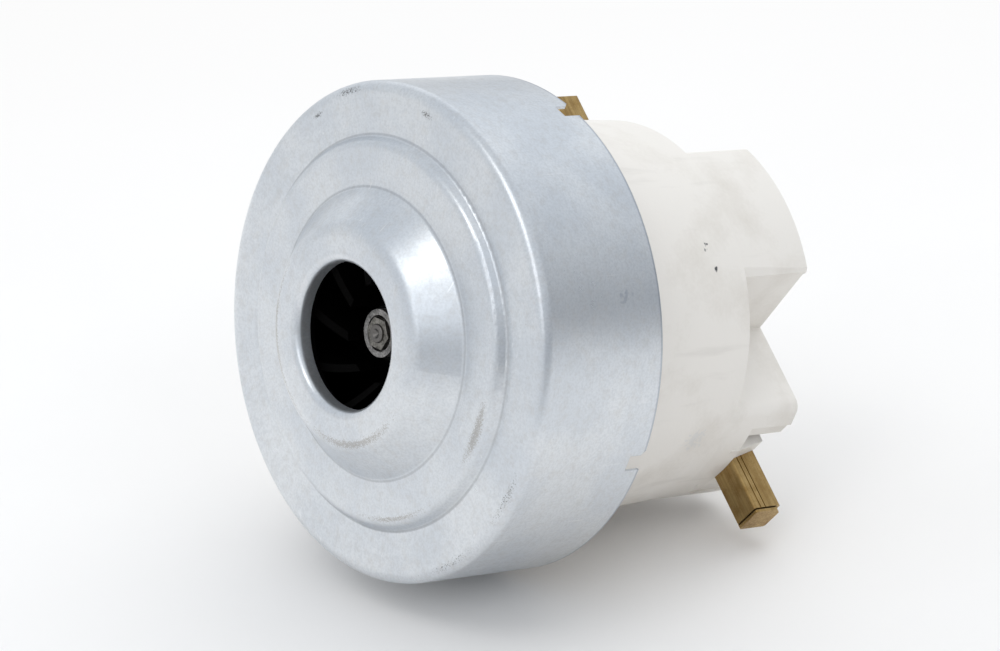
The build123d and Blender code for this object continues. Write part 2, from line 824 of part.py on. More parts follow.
with BuildPart() as rear_bearing_bridge:
    with BuildSketch(across(bridge_y, arm_angle)):
        SlotOverall(2 * bridge_half_length, 2 * bridge_half_width)
        Circle(bridge_cup_radius + bridge_rim)
    extrude(amount=bridge_sheet)
    with BuildSketch(across(cap_back_y + bridge_sheet)):
        Circle(bridge_cup_radius)
    extrude(amount=cap_back_y + bridge_sheet - rear_wall_y)
    fillet(rear_bearing_bridge.faces().sort_by(Axis.Y)[-1].edges(), bridge_sheet)
    with BuildSketch(across(cap_back_y)):
        Circle(cap_radius + seat_gap)
    extrude(amount=cap_back_y - rear_wall_y + cut_overrun, mode=Mode.SUBTRACT)
    with BuildSketch(across(cap_back_y + bridge_sheet)):
        Circle(bridge_cup_hole)
    extrude(amount=bridge_sheet + cut_overrun, mode=Mode.SUBTRACT)
    with BuildSketch(across(bridge_y, arm_angle)):
        with Locations((bridge_screw_reach, 0), (-bridge_screw_reach, 0)):
            Circle(screw_hole_radius + seat_gap)
    extrude(amount=bridge_sheet, mode=Mode.SUBTRACT)
save(rear_bearing_bridge, "rear_bearing_bridge")

with BuildPart() as rear_bridge_screws:
    with BuildSketch(across(bridge_y, arm_angle)):
        with Locations((bridge_screw_reach, 0), (-bridge_screw_reach, 0)):
            Circle(screw_head_radius)
    extrude(amount=-screw_head_height)
    with BuildSketch(across(bridge_y, arm_angle)):
        with Locations((bridge_screw_reach, 0), (-bridge_screw_reach, 0)):
            Circle(screw_radius)
    extrude(amount=bridge_boss_length)
    with BuildSketch(across(bridge_y + screw_head_height, arm_angle)):
        with Locations((bridge_screw_reach, 0), (-bridge_screw_reach, 0)):
            Rectangle(drive_length_share * screw_head_radius, drive_width_share * screw_head_radius)
            Rectangle(drive_width_share * screw_head_radius, drive_length_share * screw_head_radius)
    extrude(amount=screw_head_height / 2, mode=Mode.SUBTRACT)
save(rear_bridge_screws, "rear_bridge_screws")

# Stator: laminated yoke with two poles, two field coils on bobbins, long screws
yoke_wall_share = 0.17778
pole_half_share = 0.26667
armature_share = 0.5111
air_gap = 0.7
shoe_thickness_share = 0.08667
shoe_half_angle = 57.0
coil_inner_gap = 0.7
coil_outer_gap = 0.5
coil_half_angle = 61.0
coil_overhang = 6.5
bobbin_wall = 0.8
bobbin_gap = 0.1
bobbin_outer_share = 0.93

yoke_inner_radius = (1 - yoke_wall_share) * stator_radius
pole_half = pole_half_share * stator_radius
shoe_thickness = shoe_thickness_share * stator_radius
armature_radius = armature_share * stator_radius
bore_radius = armature_radius + air_gap
shoe_radius = bore_radius + shoe_thickness
coil_inner_radius = shoe_radius + coil_inner_gap
coil_outer_radius = yoke_inner_radius - coil_outer_gap
bobbin_half = pole_half + bobbin_gap + bobbin_wall
bobbin_outer = bobbin_outer_share * yoke_inner_radius

with BuildPart() as stator_core:
    with BuildSketch(across(stack_back_y, arm_angle)):
        Circle(stator_radius)
        Circle(yoke_inner_radius, mode=Mode.SUBTRACT)
        for side in (-1, 1):
            with Locations((side * (yoke_inner_radius + bore_radius) / 2, 0)):
                Rectangle(yoke_inner_radius - bore_radius + shoe_thickness, 2 * pole_half)
        Circle(bore_radius, mode=Mode.SUBTRACT)
        with PolarLocations(stator_screw_circle, 4, start_angle=45):
            Circle(screw_hole_radius + bobbin_gap, mode=Mode.SUBTRACT)
    extrude(amount=stack_length)
    for side in (0, 180):
        with BuildSketch(across(stack_back_y, arm_angle)):
            Circle(shoe_radius)
            Circle(bore_radius, mode=Mode.SUBTRACT)
            with BuildLine():
                Polyline(*wedge(shoe_radius, side, shoe_half_angle), close=True)
            make_face(mode=Mode.INTERSECT)
        extrude(amount=stack_length)
save(stator_core, "stator_core")

for tag, turn in (("a", arm_angle), ("b", arm_angle + 180.0)):
    with BuildPart() as field_coil:
        with BuildSketch(across(stack_back_y + coil_overhang, turn)):
            Circle(coil_outer_radius)
            Circle(coil_inner_radius, mode=Mode.SUBTRACT)
            with BuildLine():
                Polyline(*wedge(coil_outer_radius, 0, coil_half_angle), close=True)
            make_face(mode=Mode.INTERSECT)
        extrude(amount=stack_length + 2 * coil_overhang)
        with BuildSketch(across(stack_back_y + bobbin_wall + 2 * bobbin_gap, turn)):
            with Locations((coil_outer_radius, 0)):
                Rectangle(2 * coil_outer_radius, 2 * (bobbin_half + bobbin_gap))
        extrude(amount=stack_length + 2 * bobbin_wall + 4 * bobbin_gap, mode=Mode.SUBTRACT)
    save(field_coil, "field_coil_" + tag)

    with BuildPart() as coil_bobbin:
        with BuildSketch(radial(turn, coil_inner_radius, stack_front_y + stack_length / 2)):
            Rectangle(stack_length + 2 * (bobbin_gap + bobbin_wall), 2 * bobbin_half)
            Rectangle(stack_length + 2 * bobbin_gap, 2 * (pole_half + bobbin_gap), mode=Mode.SUBTRACT)
        extrude(amount=bobbin_outer - coil_inner_radius)
    save(coil_bobbin, "coil_bobbin_" + tag)

with BuildPart() as stator_screws:
    with BuildSketch(across(stack_front_y)):
        with PolarLocations(stator_screw_circle, 4, start_angle=pocket_angle):
            Circle(screw_head_radius)
    extrude(amount=screw_head_height)
    with BuildSketch(across(stack_front_y)):
        with PolarLocations(stator_screw_circle, 4, start_angle=pocket_angle):
            Circle(screw_radius)
    extrude(amount=-(collar_y - stack_front_y - cut_overrun))
save(stator_screws, "stator_screws")

# Armature: slotted core, end insulators, winding, commutator
armature_slots = 12
slot_inner_share = 0.5
tooth_tip = 2.4
slot_inner_half = 1.5
slot_outer_half = 3.2
slot_mouth = 2.0
insulator_sheet = 0.8
winding_gap = 0.2
winding_overhang = 8.5
winding_inner_share = 0.3261
winding_inset = 2.3
winding_crown_share = 0.72
commutator_share = 0.522
commutator_bar_share = 0.2832
commutator_length = 15.5
commutator_bars_count = 24
commutator_slit = 0.4
riser_length = 2.5
riser_height = 1.2
commutator_lead = 8.6

slot_inner_radius = slot_inner_share * armature_radius
slot_outer_radius = armature_radius - tooth_tip
winding_inner_radius = winding_inner_share * armature_radius
winding_outer_radius = armature_radius - winding_inset
commutator_radius = commutator_share * armature_radius
commutator_hub_radius = (1 - commutator_bar_share) * commutator_radius
commutator_front_y = brush_y - commutator_lead
commutator_back_y = commutator_front_y + commutator_length


def slot_outline(margin):
    """Corners of an armature slot, drawn in on every side by a margin."""
    return [
        (slot_inner_radius + margin, margin - slot_inner_half),
        (slot_inner_radius + margin, slot_inner_half - margin),
        (slot_outer_radius - margin, slot_outer_half - margin),
        (slot_outer_radius - margin, margin - slot_outer_half),
    ]


def turned(points, angle):
    """Points of a cross section turned about the shaft."""
    across_x = cos(radians(angle))
    across_y = sin(radians(angle))
    return [(x * across_x - y * across_y, x * across_y + y * across_x) for x, y in points]


def slotted_disc(y, radius, thickness):
    """Disc with the armature slots and the shaft bore, its rear face at y."""
    with BuildPart() as disc:
        with BuildSketch(across(y)):
            Circle(radius)
            Circle(shaft_radius + shaft_fit, mode=Mode.SUBTRACT)
            for number in range(armature_slots):
                with BuildLine():
                    Polyline(*turned(slot_outline(0), number * 360.0 / armature_slots), close=True)
                make_face(mode=Mode.SUBTRACT)
            with PolarLocations(slot_outer_radius, armature_slots):
                Rectangle(2 * (armature_radius - slot_outer_radius + seat_gap), slot_mouth, mode=Mode.SUBTRACT)
        extrude(amount=thickness)
    return disc


save(slotted_disc(stack_back_y, armature_radius, stack_length), "armature_core")
for tag, insulator_y in (("front", stack_front_y), ("rear", stack_back_y + insulator_sheet)):
    save(slotted_disc(insulator_y, armature_radius - winding_gap, insulator_sheet), "armature_insulator_" + tag)

crown_radius = winding_crown_share * winding_outer_radius
front_crown_y = stack_front_y - insulator_sheet - seat_gap
back_crown_y = stack_back_y + insulator_sheet + seat_gap

with BuildPart() as armature_winding:
    with BuildSketch(across(back_crown_y + winding_gap)):
        for number in range(armature_slots):
            with BuildLine():
                Polyline(*turned(slot_outline(winding_gap), number * 360.0 / armature_slots), close=True)
            make_face()
    extrude(amount=back_crown_y - front_crown_y + 2 * winding_gap)
    with BuildSketch(Plane.XY):
        with BuildLine():
            Polyline(
                (winding_inner_radius, front_crown_y),
                (winding_outer_radius, front_crown_y),
                (winding_outer_radius - winding_gap, front_crown_y - winding_overhang / 2),
                (crown_radius, front_crown_y - winding_overhang),
                (winding_inner_radius + winding_gap, front_crown_y - winding_overhang),
                close=True,
            )
        make_face()
        with BuildLine():
            Polyline(
                (winding_inner_radius, back_crown_y),
                (winding_outer_radius, back_crown_y),
                (winding_outer_radius - winding_gap, back_crown_y + winding_overhang / 2),
                (crown_radius, back_crown_y + winding_overhang),
                (commutator_radius, commutator_front_y - seat_gap),
                (winding_inner_radius, commutator_front_y - seat_gap),
                close=True,
            )
        make_face()
    revolve(axis=Axis.Y)
save(armature_winding, "armature_winding")

with BuildPart() as commutator_hub:
    with BuildSketch(across(commutator_back_y)):
        Circle(commutator_hub_radius)
        Circle(shaft_radius + shaft_fit, mode=Mode.SUBTRACT)
    extrude(amount=commutator_length)
save(commutator_hub, "commutator_hub")

with BuildPart() as commutator_bars:
    with BuildSketch(Plane.XY):
        with BuildLine():
            Polyline(
                (commutator_hub_radius + shaft_fit, commutator_front_y),
                (commutator_radius + riser_height, commutator_front_y),
                (commutator_radius + riser_height, commutator_front_y + riser_length),
                (commutator_radius, commutator_front_y + riser_length),
                (commutator_radius, commutator_back_y),
                (commutator_hub_radius + shaft_fit, commutator_back_y),
                close=True,
            )
        make_face()
    revolve(axis=Axis.Y)
    with BuildSketch(across(commutator_back_y + cut_overrun)):
        with PolarLocations(commutator_radius, commutator_bars_count):
            Rectangle(commutator_radius, commutator_slit)
    extrude(amount=commutator_length + 2 * cut_overrun, mode=Mode.SUBTRACT)
save(commutator_bars, "commutator_bars")

# Brush gear: brass sleeve with a folded end tab, plastic holder, brush, spring, lead
tab_gap = 0.5
tab_chamfer = 1.9
seam_width = 0.35
seam_depth = 0.3
seam_insets = (2.2, 3.9)
brush_gap = 0.1
brush_length_share = 0.516
sleeve_lead = 1.8
brush_contact_gap = 0.1
spring_radius = 2.9
spring_wire = 0.7
lead_radius = 0.8
terminal_stand = 8.5
terminal_root = 7.0
terminal_shoulder = 1.2
terminal_seat_depth = 1.6

brush_axial = sleeve_axial - 2 * sleeve_wall - 2 * brush_gap
brush_tangential = sleeve_tangential - 2 * sleeve_wall - 2 * brush_gap
brush_face_radius = commutator_radius + brush_contact_gap
sleeve_inner_end = commutator_radius + riser_height + sleeve_lead
brush_length = brush_length_share * (sleeve_outer_end - brush_face_radius)
brush_back = brush_face_radius + brush_length
tab_inner = sleeve_outer_end + tab_gap

for tag, turn in (("a", brush_angle), ("b", brush_angle + 180.0)):
    with BuildPart() as brush_sleeve:
        with BuildSketch(radial(turn, sleeve_inner_end, brush_y)):
            RectangleRounded(sleeve_axial, sleeve_tangential, sleeve_wall)
        extrude(amount=tab_inner + sleeve_wall - sleeve_inner_end)
        with BuildSketch(radial(turn, sleeve_inner_end - cut_overrun, brush_y)):
            Rectangle(sleeve_axial - 2 * sleeve_wall, sleeve_tangential - 2 * sleeve_wall)
        extrude(amount=tab_inner - sleeve_inner_end + cut_overrun, mode=Mode.SUBTRACT)
        with BuildSketch(radial(turn, sleeve_outer_end, brush_y)):
            with Locations((-sleeve_wall, sleeve_wall)):
                Rectangle(sleeve_axial, sleeve_tangential)
        extrude(amount=tab_gap, mode=Mode.SUBTRACT)
        with BuildSketch(radial(turn, sleeve_inner_end, brush_y)):
            for seam_inset in seam_insets:
                with Locations((seam_inset - sleeve_axial / 2, sleeve_tangential / 2)):
                    Rectangle(seam_width, 2 * seam_depth)
        extrude(amount=sleeve_outer_end - sleeve_inner_end, mode=Mode.SUBTRACT)
        with BuildSketch(radial(turn, sleeve_outer_end, brush_y)):
            with BuildLine():
                Polyline(
                    (sleeve_axial / 2 + cut_overrun, sleeve_tangential / 2 - tab_chamfer - cut_overrun),
                    (sleeve_axial / 2 - tab_chamfer - cut_overrun, sleeve_tangential / 2 + cut_overrun),
                    (sleeve_axial / 2 + cut_overrun, sleeve_tangential / 2 + cut_overrun),
                    close=True,
                )
            make_face()
        extrude(amount=tab_gap + 2 * sleeve_wall, mode=Mode.SUBTRACT)
    save(brush_sleeve, "brush_sleeve_" + tag)

    with BuildPart() as brush_holder:
        with BuildSketch(radial(turn, holder_inner + running_gap, (holder_front_y + holder_back_y) / 2)):
            Rectangle(holder_back_y - holder_front_y, 2 * holder_half)
            Rectangle(sleeve_axial + 2 * seat_gap, sleeve_tangential + 2 * seat_gap, mode=Mode.SUBTRACT)
        extrude(amount=holder_length)
    save(brush_holder, "brush_holder_" + tag)

    with BuildPart() as carbon_brush:
        with BuildSketch(radial(turn, commutator_hub_radius, brush_y)):
            Rectangle(brush_axial, brush_tangential)
        extrude(amount=brush_back - commutator_hub_radius)
        with BuildSketch(across(brush_y + sleeve_axial)):
            Circle(brush_face_radius)
        extrude(amount=2 * sleeve_axial, mode=Mode.SUBTRACT)
    save(carbon_brush, "carbon_brush_" + tag)

    with BuildPart() as brush_spring:
        with BuildSketch(radial(turn, brush_back + seat_gap, brush_y)):
            Circle(spring_radius)
            Circle(spring_radius - spring_wire, mode=Mode.SUBTRACT)
        extrude(amount=tab_inner - brush_back - 2 * seat_gap)
    save(brush_spring, "brush_spring_" + tag)

    with BuildPart() as brush_lead:
        with BuildSketch(radial(turn, brush_back + seat_gap, brush_y)):
            Circle(lead_radius)
        extrude(amount=tab_inner - brush_back - 2 * seat_gap)
    save(brush_lead, "brush_lead_" + tag)

for tag, side in (("a", 1), ("b", -1)):
    with BuildPart() as terminal:
        with BuildSketch(across(rear_wall_y + terminal_stand, arm_angle)):
            with Locations((-terminal_reach, side * terminal_spread)):
                Rectangle(terminal_sheet, terminal_width)
        extrude(amount=terminal_stand + box_wall + terminal_root)
        with BuildSketch(across(rear_inside_y, arm_angle)):
            with Locations((-terminal_reach, side * terminal_spread)):
                Rectangle(terminal_sheet, terminal_width + 2 * terminal_shoulder)
        extrude(amount=terminal_seat_depth)
    save(terminal, "terminal_" + tag)
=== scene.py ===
from math import cos, radians, sin

import bpy
from mathutils import Matrix, Vector


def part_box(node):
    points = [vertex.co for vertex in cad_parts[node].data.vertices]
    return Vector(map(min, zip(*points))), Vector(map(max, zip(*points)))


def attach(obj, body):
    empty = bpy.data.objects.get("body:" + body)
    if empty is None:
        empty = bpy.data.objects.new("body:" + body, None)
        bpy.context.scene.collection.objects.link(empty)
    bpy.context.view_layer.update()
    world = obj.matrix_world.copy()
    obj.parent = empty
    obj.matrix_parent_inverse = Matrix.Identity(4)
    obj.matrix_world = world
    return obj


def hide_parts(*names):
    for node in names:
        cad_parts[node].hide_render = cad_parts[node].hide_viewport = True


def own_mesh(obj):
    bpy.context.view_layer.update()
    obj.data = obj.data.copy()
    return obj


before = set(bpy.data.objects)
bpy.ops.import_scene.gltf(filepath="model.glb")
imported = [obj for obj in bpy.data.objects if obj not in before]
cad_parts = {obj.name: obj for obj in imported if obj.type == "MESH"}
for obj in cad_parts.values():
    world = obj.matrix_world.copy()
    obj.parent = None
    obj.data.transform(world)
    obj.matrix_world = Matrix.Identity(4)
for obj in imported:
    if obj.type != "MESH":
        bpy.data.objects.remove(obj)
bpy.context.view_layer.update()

# SHAFT
# One ground steel bar along Y, threaded at the nose, with shoulders for the fan and both bearings.
# The turning marks run round it, so its finish follows the distance from the shaft axis.
SHAFT_GREY = (0.19, 0.18, 0.17, 1.0)


def put(tree, kind, inputs=None, **settings):
    """One node of a material or shape tree, its settings, and its inputs as plain values or links."""
    made = tree.nodes.new(kind)
    for name, value in settings.items():
        setattr(made, name, value)
    for name, value in (inputs or {}).items():
        if isinstance(value, bpy.types.NodeSocket):
            tree.links.new(value, made.inputs[name])
        else:
            made.inputs[name].default_value = value
    return made


def noise(tree, place, scale, detail, **more):
    """Soft noise of one grain size, from 0 to 1."""
    inputs = {"Vector": place, "Scale": scale, "Detail": detail, **more}
    return put(tree, "ShaderNodeTexNoise", inputs).outputs[0]


def measured(tree, operation, *vectors):
    """A length, a distance or a dot product."""
    return put(tree, "ShaderNodeVectorMath", dict(enumerate(vectors)), operation=operation).outputs["Value"]


def shaft_distance(tree, apart):
    """How far a place is from the shaft axis, from its three parts."""
    flat = put(tree, "ShaderNodeCombineXYZ", {0: apart[0], 1: apart[2]})
    return measured(tree, "LENGTH", flat.outputs[0])


def new_group(name, inputs, outputs):
    """A shader node group with its named sockets, and the two nodes that stand for them inside."""
    group = bpy.data.node_groups.new(name, "ShaderNodeTree")
    for label, kind, value in inputs:
        socket = group.interface.new_socket(name=label, in_out="INPUT", socket_type=kind)
        if value is not None:
            socket.default_value = value
    for label, kind in outputs:
        group.interface.new_socket(name=label, in_out="OUTPUT", socket_type=kind)
    return group, put(group, "NodeGroupInput").outputs, put(group, "NodeGroupOutput")


def turned_marks_group():
    """Fine rings left by turning or spinning, from the distance to the shaft and along it."""
    group, given, result = new_group(
        "Turned Marks",
        [("Place", "NodeSocketVector", None), ("Fineness", "NodeSocketFloat", 3000.0)],
        [("Marks", "NodeSocketFloat"), ("Radius", "NodeSocketFloat")],
    )
    apart = put(group, "ShaderNodeSeparateXYZ", {0: given["Place"]}).outputs
    radius = shaft_distance(group, apart)
    spot = put(group, "ShaderNodeCombineXYZ", {0: radius, 1: apart[1]})
    rings = noise(group, spot.outputs[0], given["Fineness"], 2.0)
    group.links.new(rings, result.inputs["Marks"])
    group.links.new(radius, result.inputs["Radius"])
    return group


TURNED_MARKS = turned_marks_group()


def turned_marks(tree, place, fineness):
    """The turned marks group with its own fineness."""
    inputs = {"Place": place, "Fineness": fineness}
    return put(tree, "ShaderNodeGroup", inputs, node_tree=TURNED_MARKS).outputs


def new_finish(name, base, rough, metal=0.0, **plain):
    """A material with one Principled shader: its tree, its shader and its place on the piece."""
    finish = bpy.data.materials.new(name)
    finish.use_nodes = True
    tree = finish.node_tree
    skin = tree.nodes["Principled BSDF"]
    skin.inputs["Base Color"].default_value = base
    skin.inputs["Roughness"].default_value = rough
    skin.inputs["Metallic"].default_value = metal
    for socket, value in plain.items():
        skin.inputs[socket.replace("_", " ")].default_value = value
    place = put(tree, "ShaderNodeTexCoord").outputs["Object"]
    return finish, tree, skin, place


def spread(tree, value, low, high, out_low, out_high):
    """A value taken from one span to another, held at the ends."""
    node = put(tree, "ShaderNodeMapRange", {0: value, 1: low, 2: high, 3: out_low, 4: out_high})
    return node.outputs[0]


def tint(tree, share, first, second):
    """Two colours mixed by a share."""
    node = put(tree, "ShaderNodeMix", {0: share, 6: first, 7: second}, data_type="RGBA")
    return node.outputs[2]


def stained(tree, shade, mask, low, high, share, colour):
    """A shade, with a share of another colour over it where a mask has risen from low to high."""
    return tint(tree, spread(tree, mask, low, high, 0.0, share), shade, colour)


def darkened(colour, share):
    """A share of a colour's light."""
    return [part * share for part in colour[:3]] + [1.0]


def uneven_gloss(tree, skin, mask, low, high, smooth, rough):
    """Roughness that goes from smooth to rough as a mask rises from low to high."""
    tree.links.new(spread(tree, mask, low, high, smooth, rough), skin.inputs["Roughness"])


def relief(tree, skin, height, strength, depth):
    """Fine relief from a height map, and the node that makes it."""
    bump = put(tree, "ShaderNodeBump", {"Height": height, "Strength": strength, "Distance": depth})
    tree.links.new(bump.outputs[0], skin.inputs["Normal"])
    return bump


def dress(finish, *names):
    """The finish put on carried over solids."""
    for name in names:
        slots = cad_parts[name].data.materials
        slots.clear()
        slots.append(finish)


def turned_steel(name, base, rough, fineness, depth):
    """Turned or ground steel, with rings of slightly different gloss and height."""
    finish, tree, skin, place = new_finish(name, base, rough, 1.0)
    rings = turned_marks(tree, place, fineness)["Marks"]
    uneven_gloss(tree, skin, rings, 0.35, 0.65, rough - 0.07, rough + 0.1)
    shade = stained(tree, darkened(base, 0.82), rings, 0.3, 0.7, 1.0, base)
    tree.links.new(shade, skin.inputs["Base Color"])
    relief(tree, skin, rings, 0.3, depth)
    return finish


shaft_steel = turned_steel("Ground shaft steel", SHAFT_GREY, 0.4, 2600.0, 0.00003)
dress(shaft_steel, "shaft")

# BALL BEARINGS
# A wide bearing behind the fan and a narrow one behind the commutator, each with hardened rings,
# seven balls, a pressed cage and two pressed shields, greased and closed.
RING_GREY = (0.60, 0.60, 0.61, 1.0)
CAGE_GREY = (0.46, 0.45, 0.43, 1.0)
BALL_GREY = (0.62, 0.62, 0.63, 1.0)
ring_steel = turned_steel("Ground bearing ring steel", RING_GREY, 0.2, 5000.0, 0.00001)
pressed_steel = turned_steel("Pressed cage and shield steel", CAGE_GREY, 0.38, 1500.0, 0.00002)
for end in ("front", "rear"):
    dress(ring_steel, end + "_bearing_outer_ring", end + "_bearing_inner_ring")
    dress(pressed_steel, end + "_bearing_cage", end + "_bearing_shields")


def greased_balls():
    """Polished balls under a thin film of grease."""
    finish, tree, skin, place = new_finish(
        "Greased ball steel", BALL_GREY, 0.1, 1.0, Coat_Weight=0.5, Coat_Roughness=0.12
    )
    uneven_gloss(tree, skin, noise(tree, place, 900.0, 3.0), 0.4, 0.65, 0.06, 0.24)
    return finish


dress(greased_balls(), "front_bearing_balls", "rear_bearing_balls")

# ARMATURE CORE AND ITS END BOARDS
# Thin stamped laminations stacked on the shaft, seen from the side as fine lines across it, with a
# board of pressed fibre at each end that keeps the wire off the steel. The stator is stacked alike.
SHEET_GREY = (0.17, 0.175, 0.19, 1.0)
RUST_BROWN = (0.16, 0.10, 0.06, 1.0)
FIBRE_YELLOW = (0.66, 0.56, 0.36, 1.0)
FIBRE_BROWN = (0.47, 0.37, 0.20, 1.0)


def between(tree, share, first, second):
    """Two measures mixed by a share."""
    node = put(tree, "ShaderNodeMix", {0: share, 2: first, 3: second}, data_type="FLOAT")
    return node.outputs[0]


def mottle_group():
    """Soft patches of two sizes, for stains, plating and moulded skin."""
    group, given, result = new_group(
        "Mottle",
        [
            ("Place", "NodeSocketVector", None),
            ("Size", "NodeSocketFloat", 60.0),
            ("Grain", "NodeSocketFloat", 1500.0),
            ("Grain Share", "NodeSocketFloat", 0.3),
        ],
        [("Patches", "NodeSocketFloat"), ("Fine", "NodeSocketFloat")],
    )
    wide = noise(group, given["Place"], given["Size"], 5.0)
    fine = noise(group, given["Place"], given["Grain"], 2.0)
    both = between(group, given["Grain Share"], wide, fine)
    group.links.new(both, result.inputs["Patches"])
    group.links.new(fine, result.inputs["Fine"])
    return group


MOTTLE = mottle_group()


def mottled(tree, place, size, grain, share):
    """The mottle group with its own sizes."""
    inputs = {"Place": place, "Size": size, "Grain": grain, "Grain Share": share}
    return put(tree, "ShaderNodeGroup", inputs, node_tree=MOTTLE).outputs


def stretched(tree, place, scale, detail):
    """Soft noise drawn out into lines by a scale of its own along each axis."""
    drawn = put(tree, "ShaderNodeMapping", {"Vector": place, "Scale": scale})
    return noise(tree, drawn.outputs[0], 1.0, detail)


def laminations():
    """Stacked stampings: fine lines square to the shaft, blue grey with rust in a few of them."""
    finish, tree, skin, place = new_finish("Stacked laminations", (0.16, 0.165, 0.175, 1.0), 0.5, 0.85)
    sheets = stretched(tree, place, (60.0, 2000.0, 60.0), 1.0)
    patches = mottled(tree, place, 150.0, 1200.0, 0.3)["Patches"]
    rusty = stained(tree, SHEET_GREY, patches, 0.52, 0.7, 0.6, RUST_BROWN)
    tree.links.new(rusty, skin.inputs["Base Color"])
    uneven_gloss(tree, skin, sheets, 0.3, 0.7, 0.35, 0.65)
    relief(tree, skin, sheets, 0.6, 0.0001)
    return finish


dress(laminations(), "armature_core", "stator_core")


def pressed_board():
    """Yellowish pressed fibre, with a dry flecked surface."""
    finish, tree, skin, place = new_finish("Pressed fibre board", (0.62, 0.52, 0.33, 1.0), 0.7)
    flecks = mottled(tree, place, 220.0, 2500.0, 0.5)
    shade = stained(tree, FIBRE_YELLOW, flecks["Patches"], 0.4, 0.62, 1.0, FIBRE_BROWN)
    tree.links.new(shade, skin.inputs["Base Color"])
    relief(tree, skin, flecks["Fine"], 0.4, 0.00005)
    return finish


fibre_board = pressed_board()
dress(fibre_board, "armature_insulator_front", "armature_insulator_rear", "coil_bobbin_a", "coil_bobbin_b")

# COMMUTATOR
# Copper bars set round a moulded hub, each with a raised end for its wires. They are turned true
# together, and go dark brown where the brushes run on them.
BRUSH_TRACK_Y = (0.0735, 0.0845)
TRACK_EASE = 0.0006
COPPER = (0.66, 0.32, 0.18, 1.0)
TRACK_BROWN = (0.16, 0.085, 0.055, 1.0)
TARNISH = (0.3, 0.17, 0.11, 1.0)
HUB_BLACK = (0.03, 0.028, 0.026, 1.0)
HUB_DUST = (0.10, 0.09, 0.08, 1.0)


def worked_out(tree, operation, *values):
    """One step of arithmetic on masks or measures."""
    return put(tree, "ShaderNodeMath", dict(enumerate(values)), operation=operation).outputs[0]


def band(tree, value, low, high, ease):
    """One from low to high and nothing beyond, with a short rise before and a short fall after."""
    rise = spread(tree, value, low - ease, low, 0.0, 1.0)
    fall = spread(tree, value, high, high + ease, 1.0, 0.0)
    return worked_out(tree, "MULTIPLY", rise, fall)


def commutator_copper():
    """Turned copper with the dark polished track of the brushes."""
    finish, tree, skin, place = new_finish("Commutator copper", COPPER, 0.3, 1.0)
    marks = turned_marks(tree, place, 4000.0)["Marks"]
    along = put(tree, "ShaderNodeSeparateXYZ", {0: place}).outputs[1]
    worn = tint(tree, band(tree, along, *BRUSH_TRACK_Y, TRACK_EASE), COPPER, TRACK_BROWN)
    tree.links.new(stained(tree, worn, marks, 0.4, 0.8, 0.5, TARNISH), skin.inputs["Base Color"])
    uneven_gloss(tree, skin, marks, 0.3, 0.7, 0.22, 0.42)
    return finish


dress(commutator_copper(), "commutator_bars")


def moulded(name, base, rough, dusty, dust, **plain):
    """Black moulded plastic with a fine skin and thin grey dust."""
    finish, tree, skin, place = new_finish(name, base, rough, **plain)
    patches = mottled(tree, place, 90.0, 1800.0, 0.35)
    shade = stained(tree, base, patches["Patches"], 0.42, 0.68, dust, dusty)
    tree.links.new(shade, skin.inputs["Base Color"])
    uneven_gloss(tree, skin, patches["Patches"], 0.35, 0.65, rough - 0.08, rough + 0.15)
    relief(tree, skin, patches["Fine"], 0.25, 0.00006)
    return finish


dress(moulded("Commutator hub plastic", HUB_BLACK, 0.45, HUB_DUST, 0.4), "commutator_hub")

# WINDINGS
# Enamelled copper wire, laid turn by turn in the twelve slots of the armature and round each pole of
# the stator, and dipped in clear brown varnish.
WIRE_COPPER = (0.50, 0.18, 0.07, 1.0)
VARNISH_BROWN = (0.22, 0.075, 0.03, 1.0)


def varnished_wire():
    """Enamelled wire under uneven varnish."""
    finish, tree, skin, place = new_finish(
        "Varnished copper wire", (0.42, 0.14, 0.05, 1.0), 0.3, 0.6, Coat_Weight=0.5, Coat_Roughness=0.15
    )
    patches = mottled(tree, place, 120.0, 2200.0, 0.3)["Patches"]
    shade = stained(tree, WIRE_COPPER, patches, 0.4, 0.62, 1.0, VARNISH_BROWN)
    tree.links.new(shade, skin.inputs["Base Color"])
    uneven_gloss(tree, skin, patches, 0.35, 0.65, 0.22, 0.5)
    return finish


copper_wire = varnished_wire()
dress(copper_wire, "armature_winding", "field_coil_a", "field_coil_b")

# REAR BEARING SEAT
# A rubber cap takes the narrow bearing, and a pressed steel bridge holds the cap over the rear wall
# with two screws. The bracket of the front bearing and all the other screws are plated in the same way.
RUBBER_BLACK = (0.026, 0.026, 0.028, 1.0)
BLOOM_GREY = (0.10, 0.10, 0.105, 1.0)
BRACKET_GREY = (0.60, 0.61, 0.60, 1.0)
SCREW_GREY = (0.52, 0.51, 0.48, 1.0)


def moulded_rubber():
    """Black rubber, dull, with a trace of bloom."""
    finish, tree, skin, place = new_finish("Moulded cap rubber", (0.028, 0.028, 0.03, 1.0), 0.75)
    bloom = mottled(tree, place, 200.0, 1600.0, 0.4)["Patches"]
    shade = stained(tree, RUBBER_BLACK, bloom, 0.45, 0.7, 0.5, BLOOM_GREY)
    tree.links.new(shade, skin.inputs["Base Color"])
    return finish


dress(moulded_rubber(), "rear_bearing_rubber_cap")


def plated_sheet(name, base, rough, size):
    """Plated pressed sheet with soft patches in its gloss."""
    finish, tree, skin, place = new_finish(name, base, rough, 1.0)
    patches = mottled(tree, place, size, 1400.0, 0.35)
    shade = stained(tree, base, patches["Patches"], 0.4, 0.65, 1.0, darkened(base, 0.72))
    tree.links.new(shade, skin.inputs["Base Color"])
    uneven_gloss(tree, skin, patches["Patches"], 0.35, 0.65, rough - 0.08, rough + 0.14)
    relief(tree, skin, patches["Fine"], 0.2, 0.00004)
    return finish


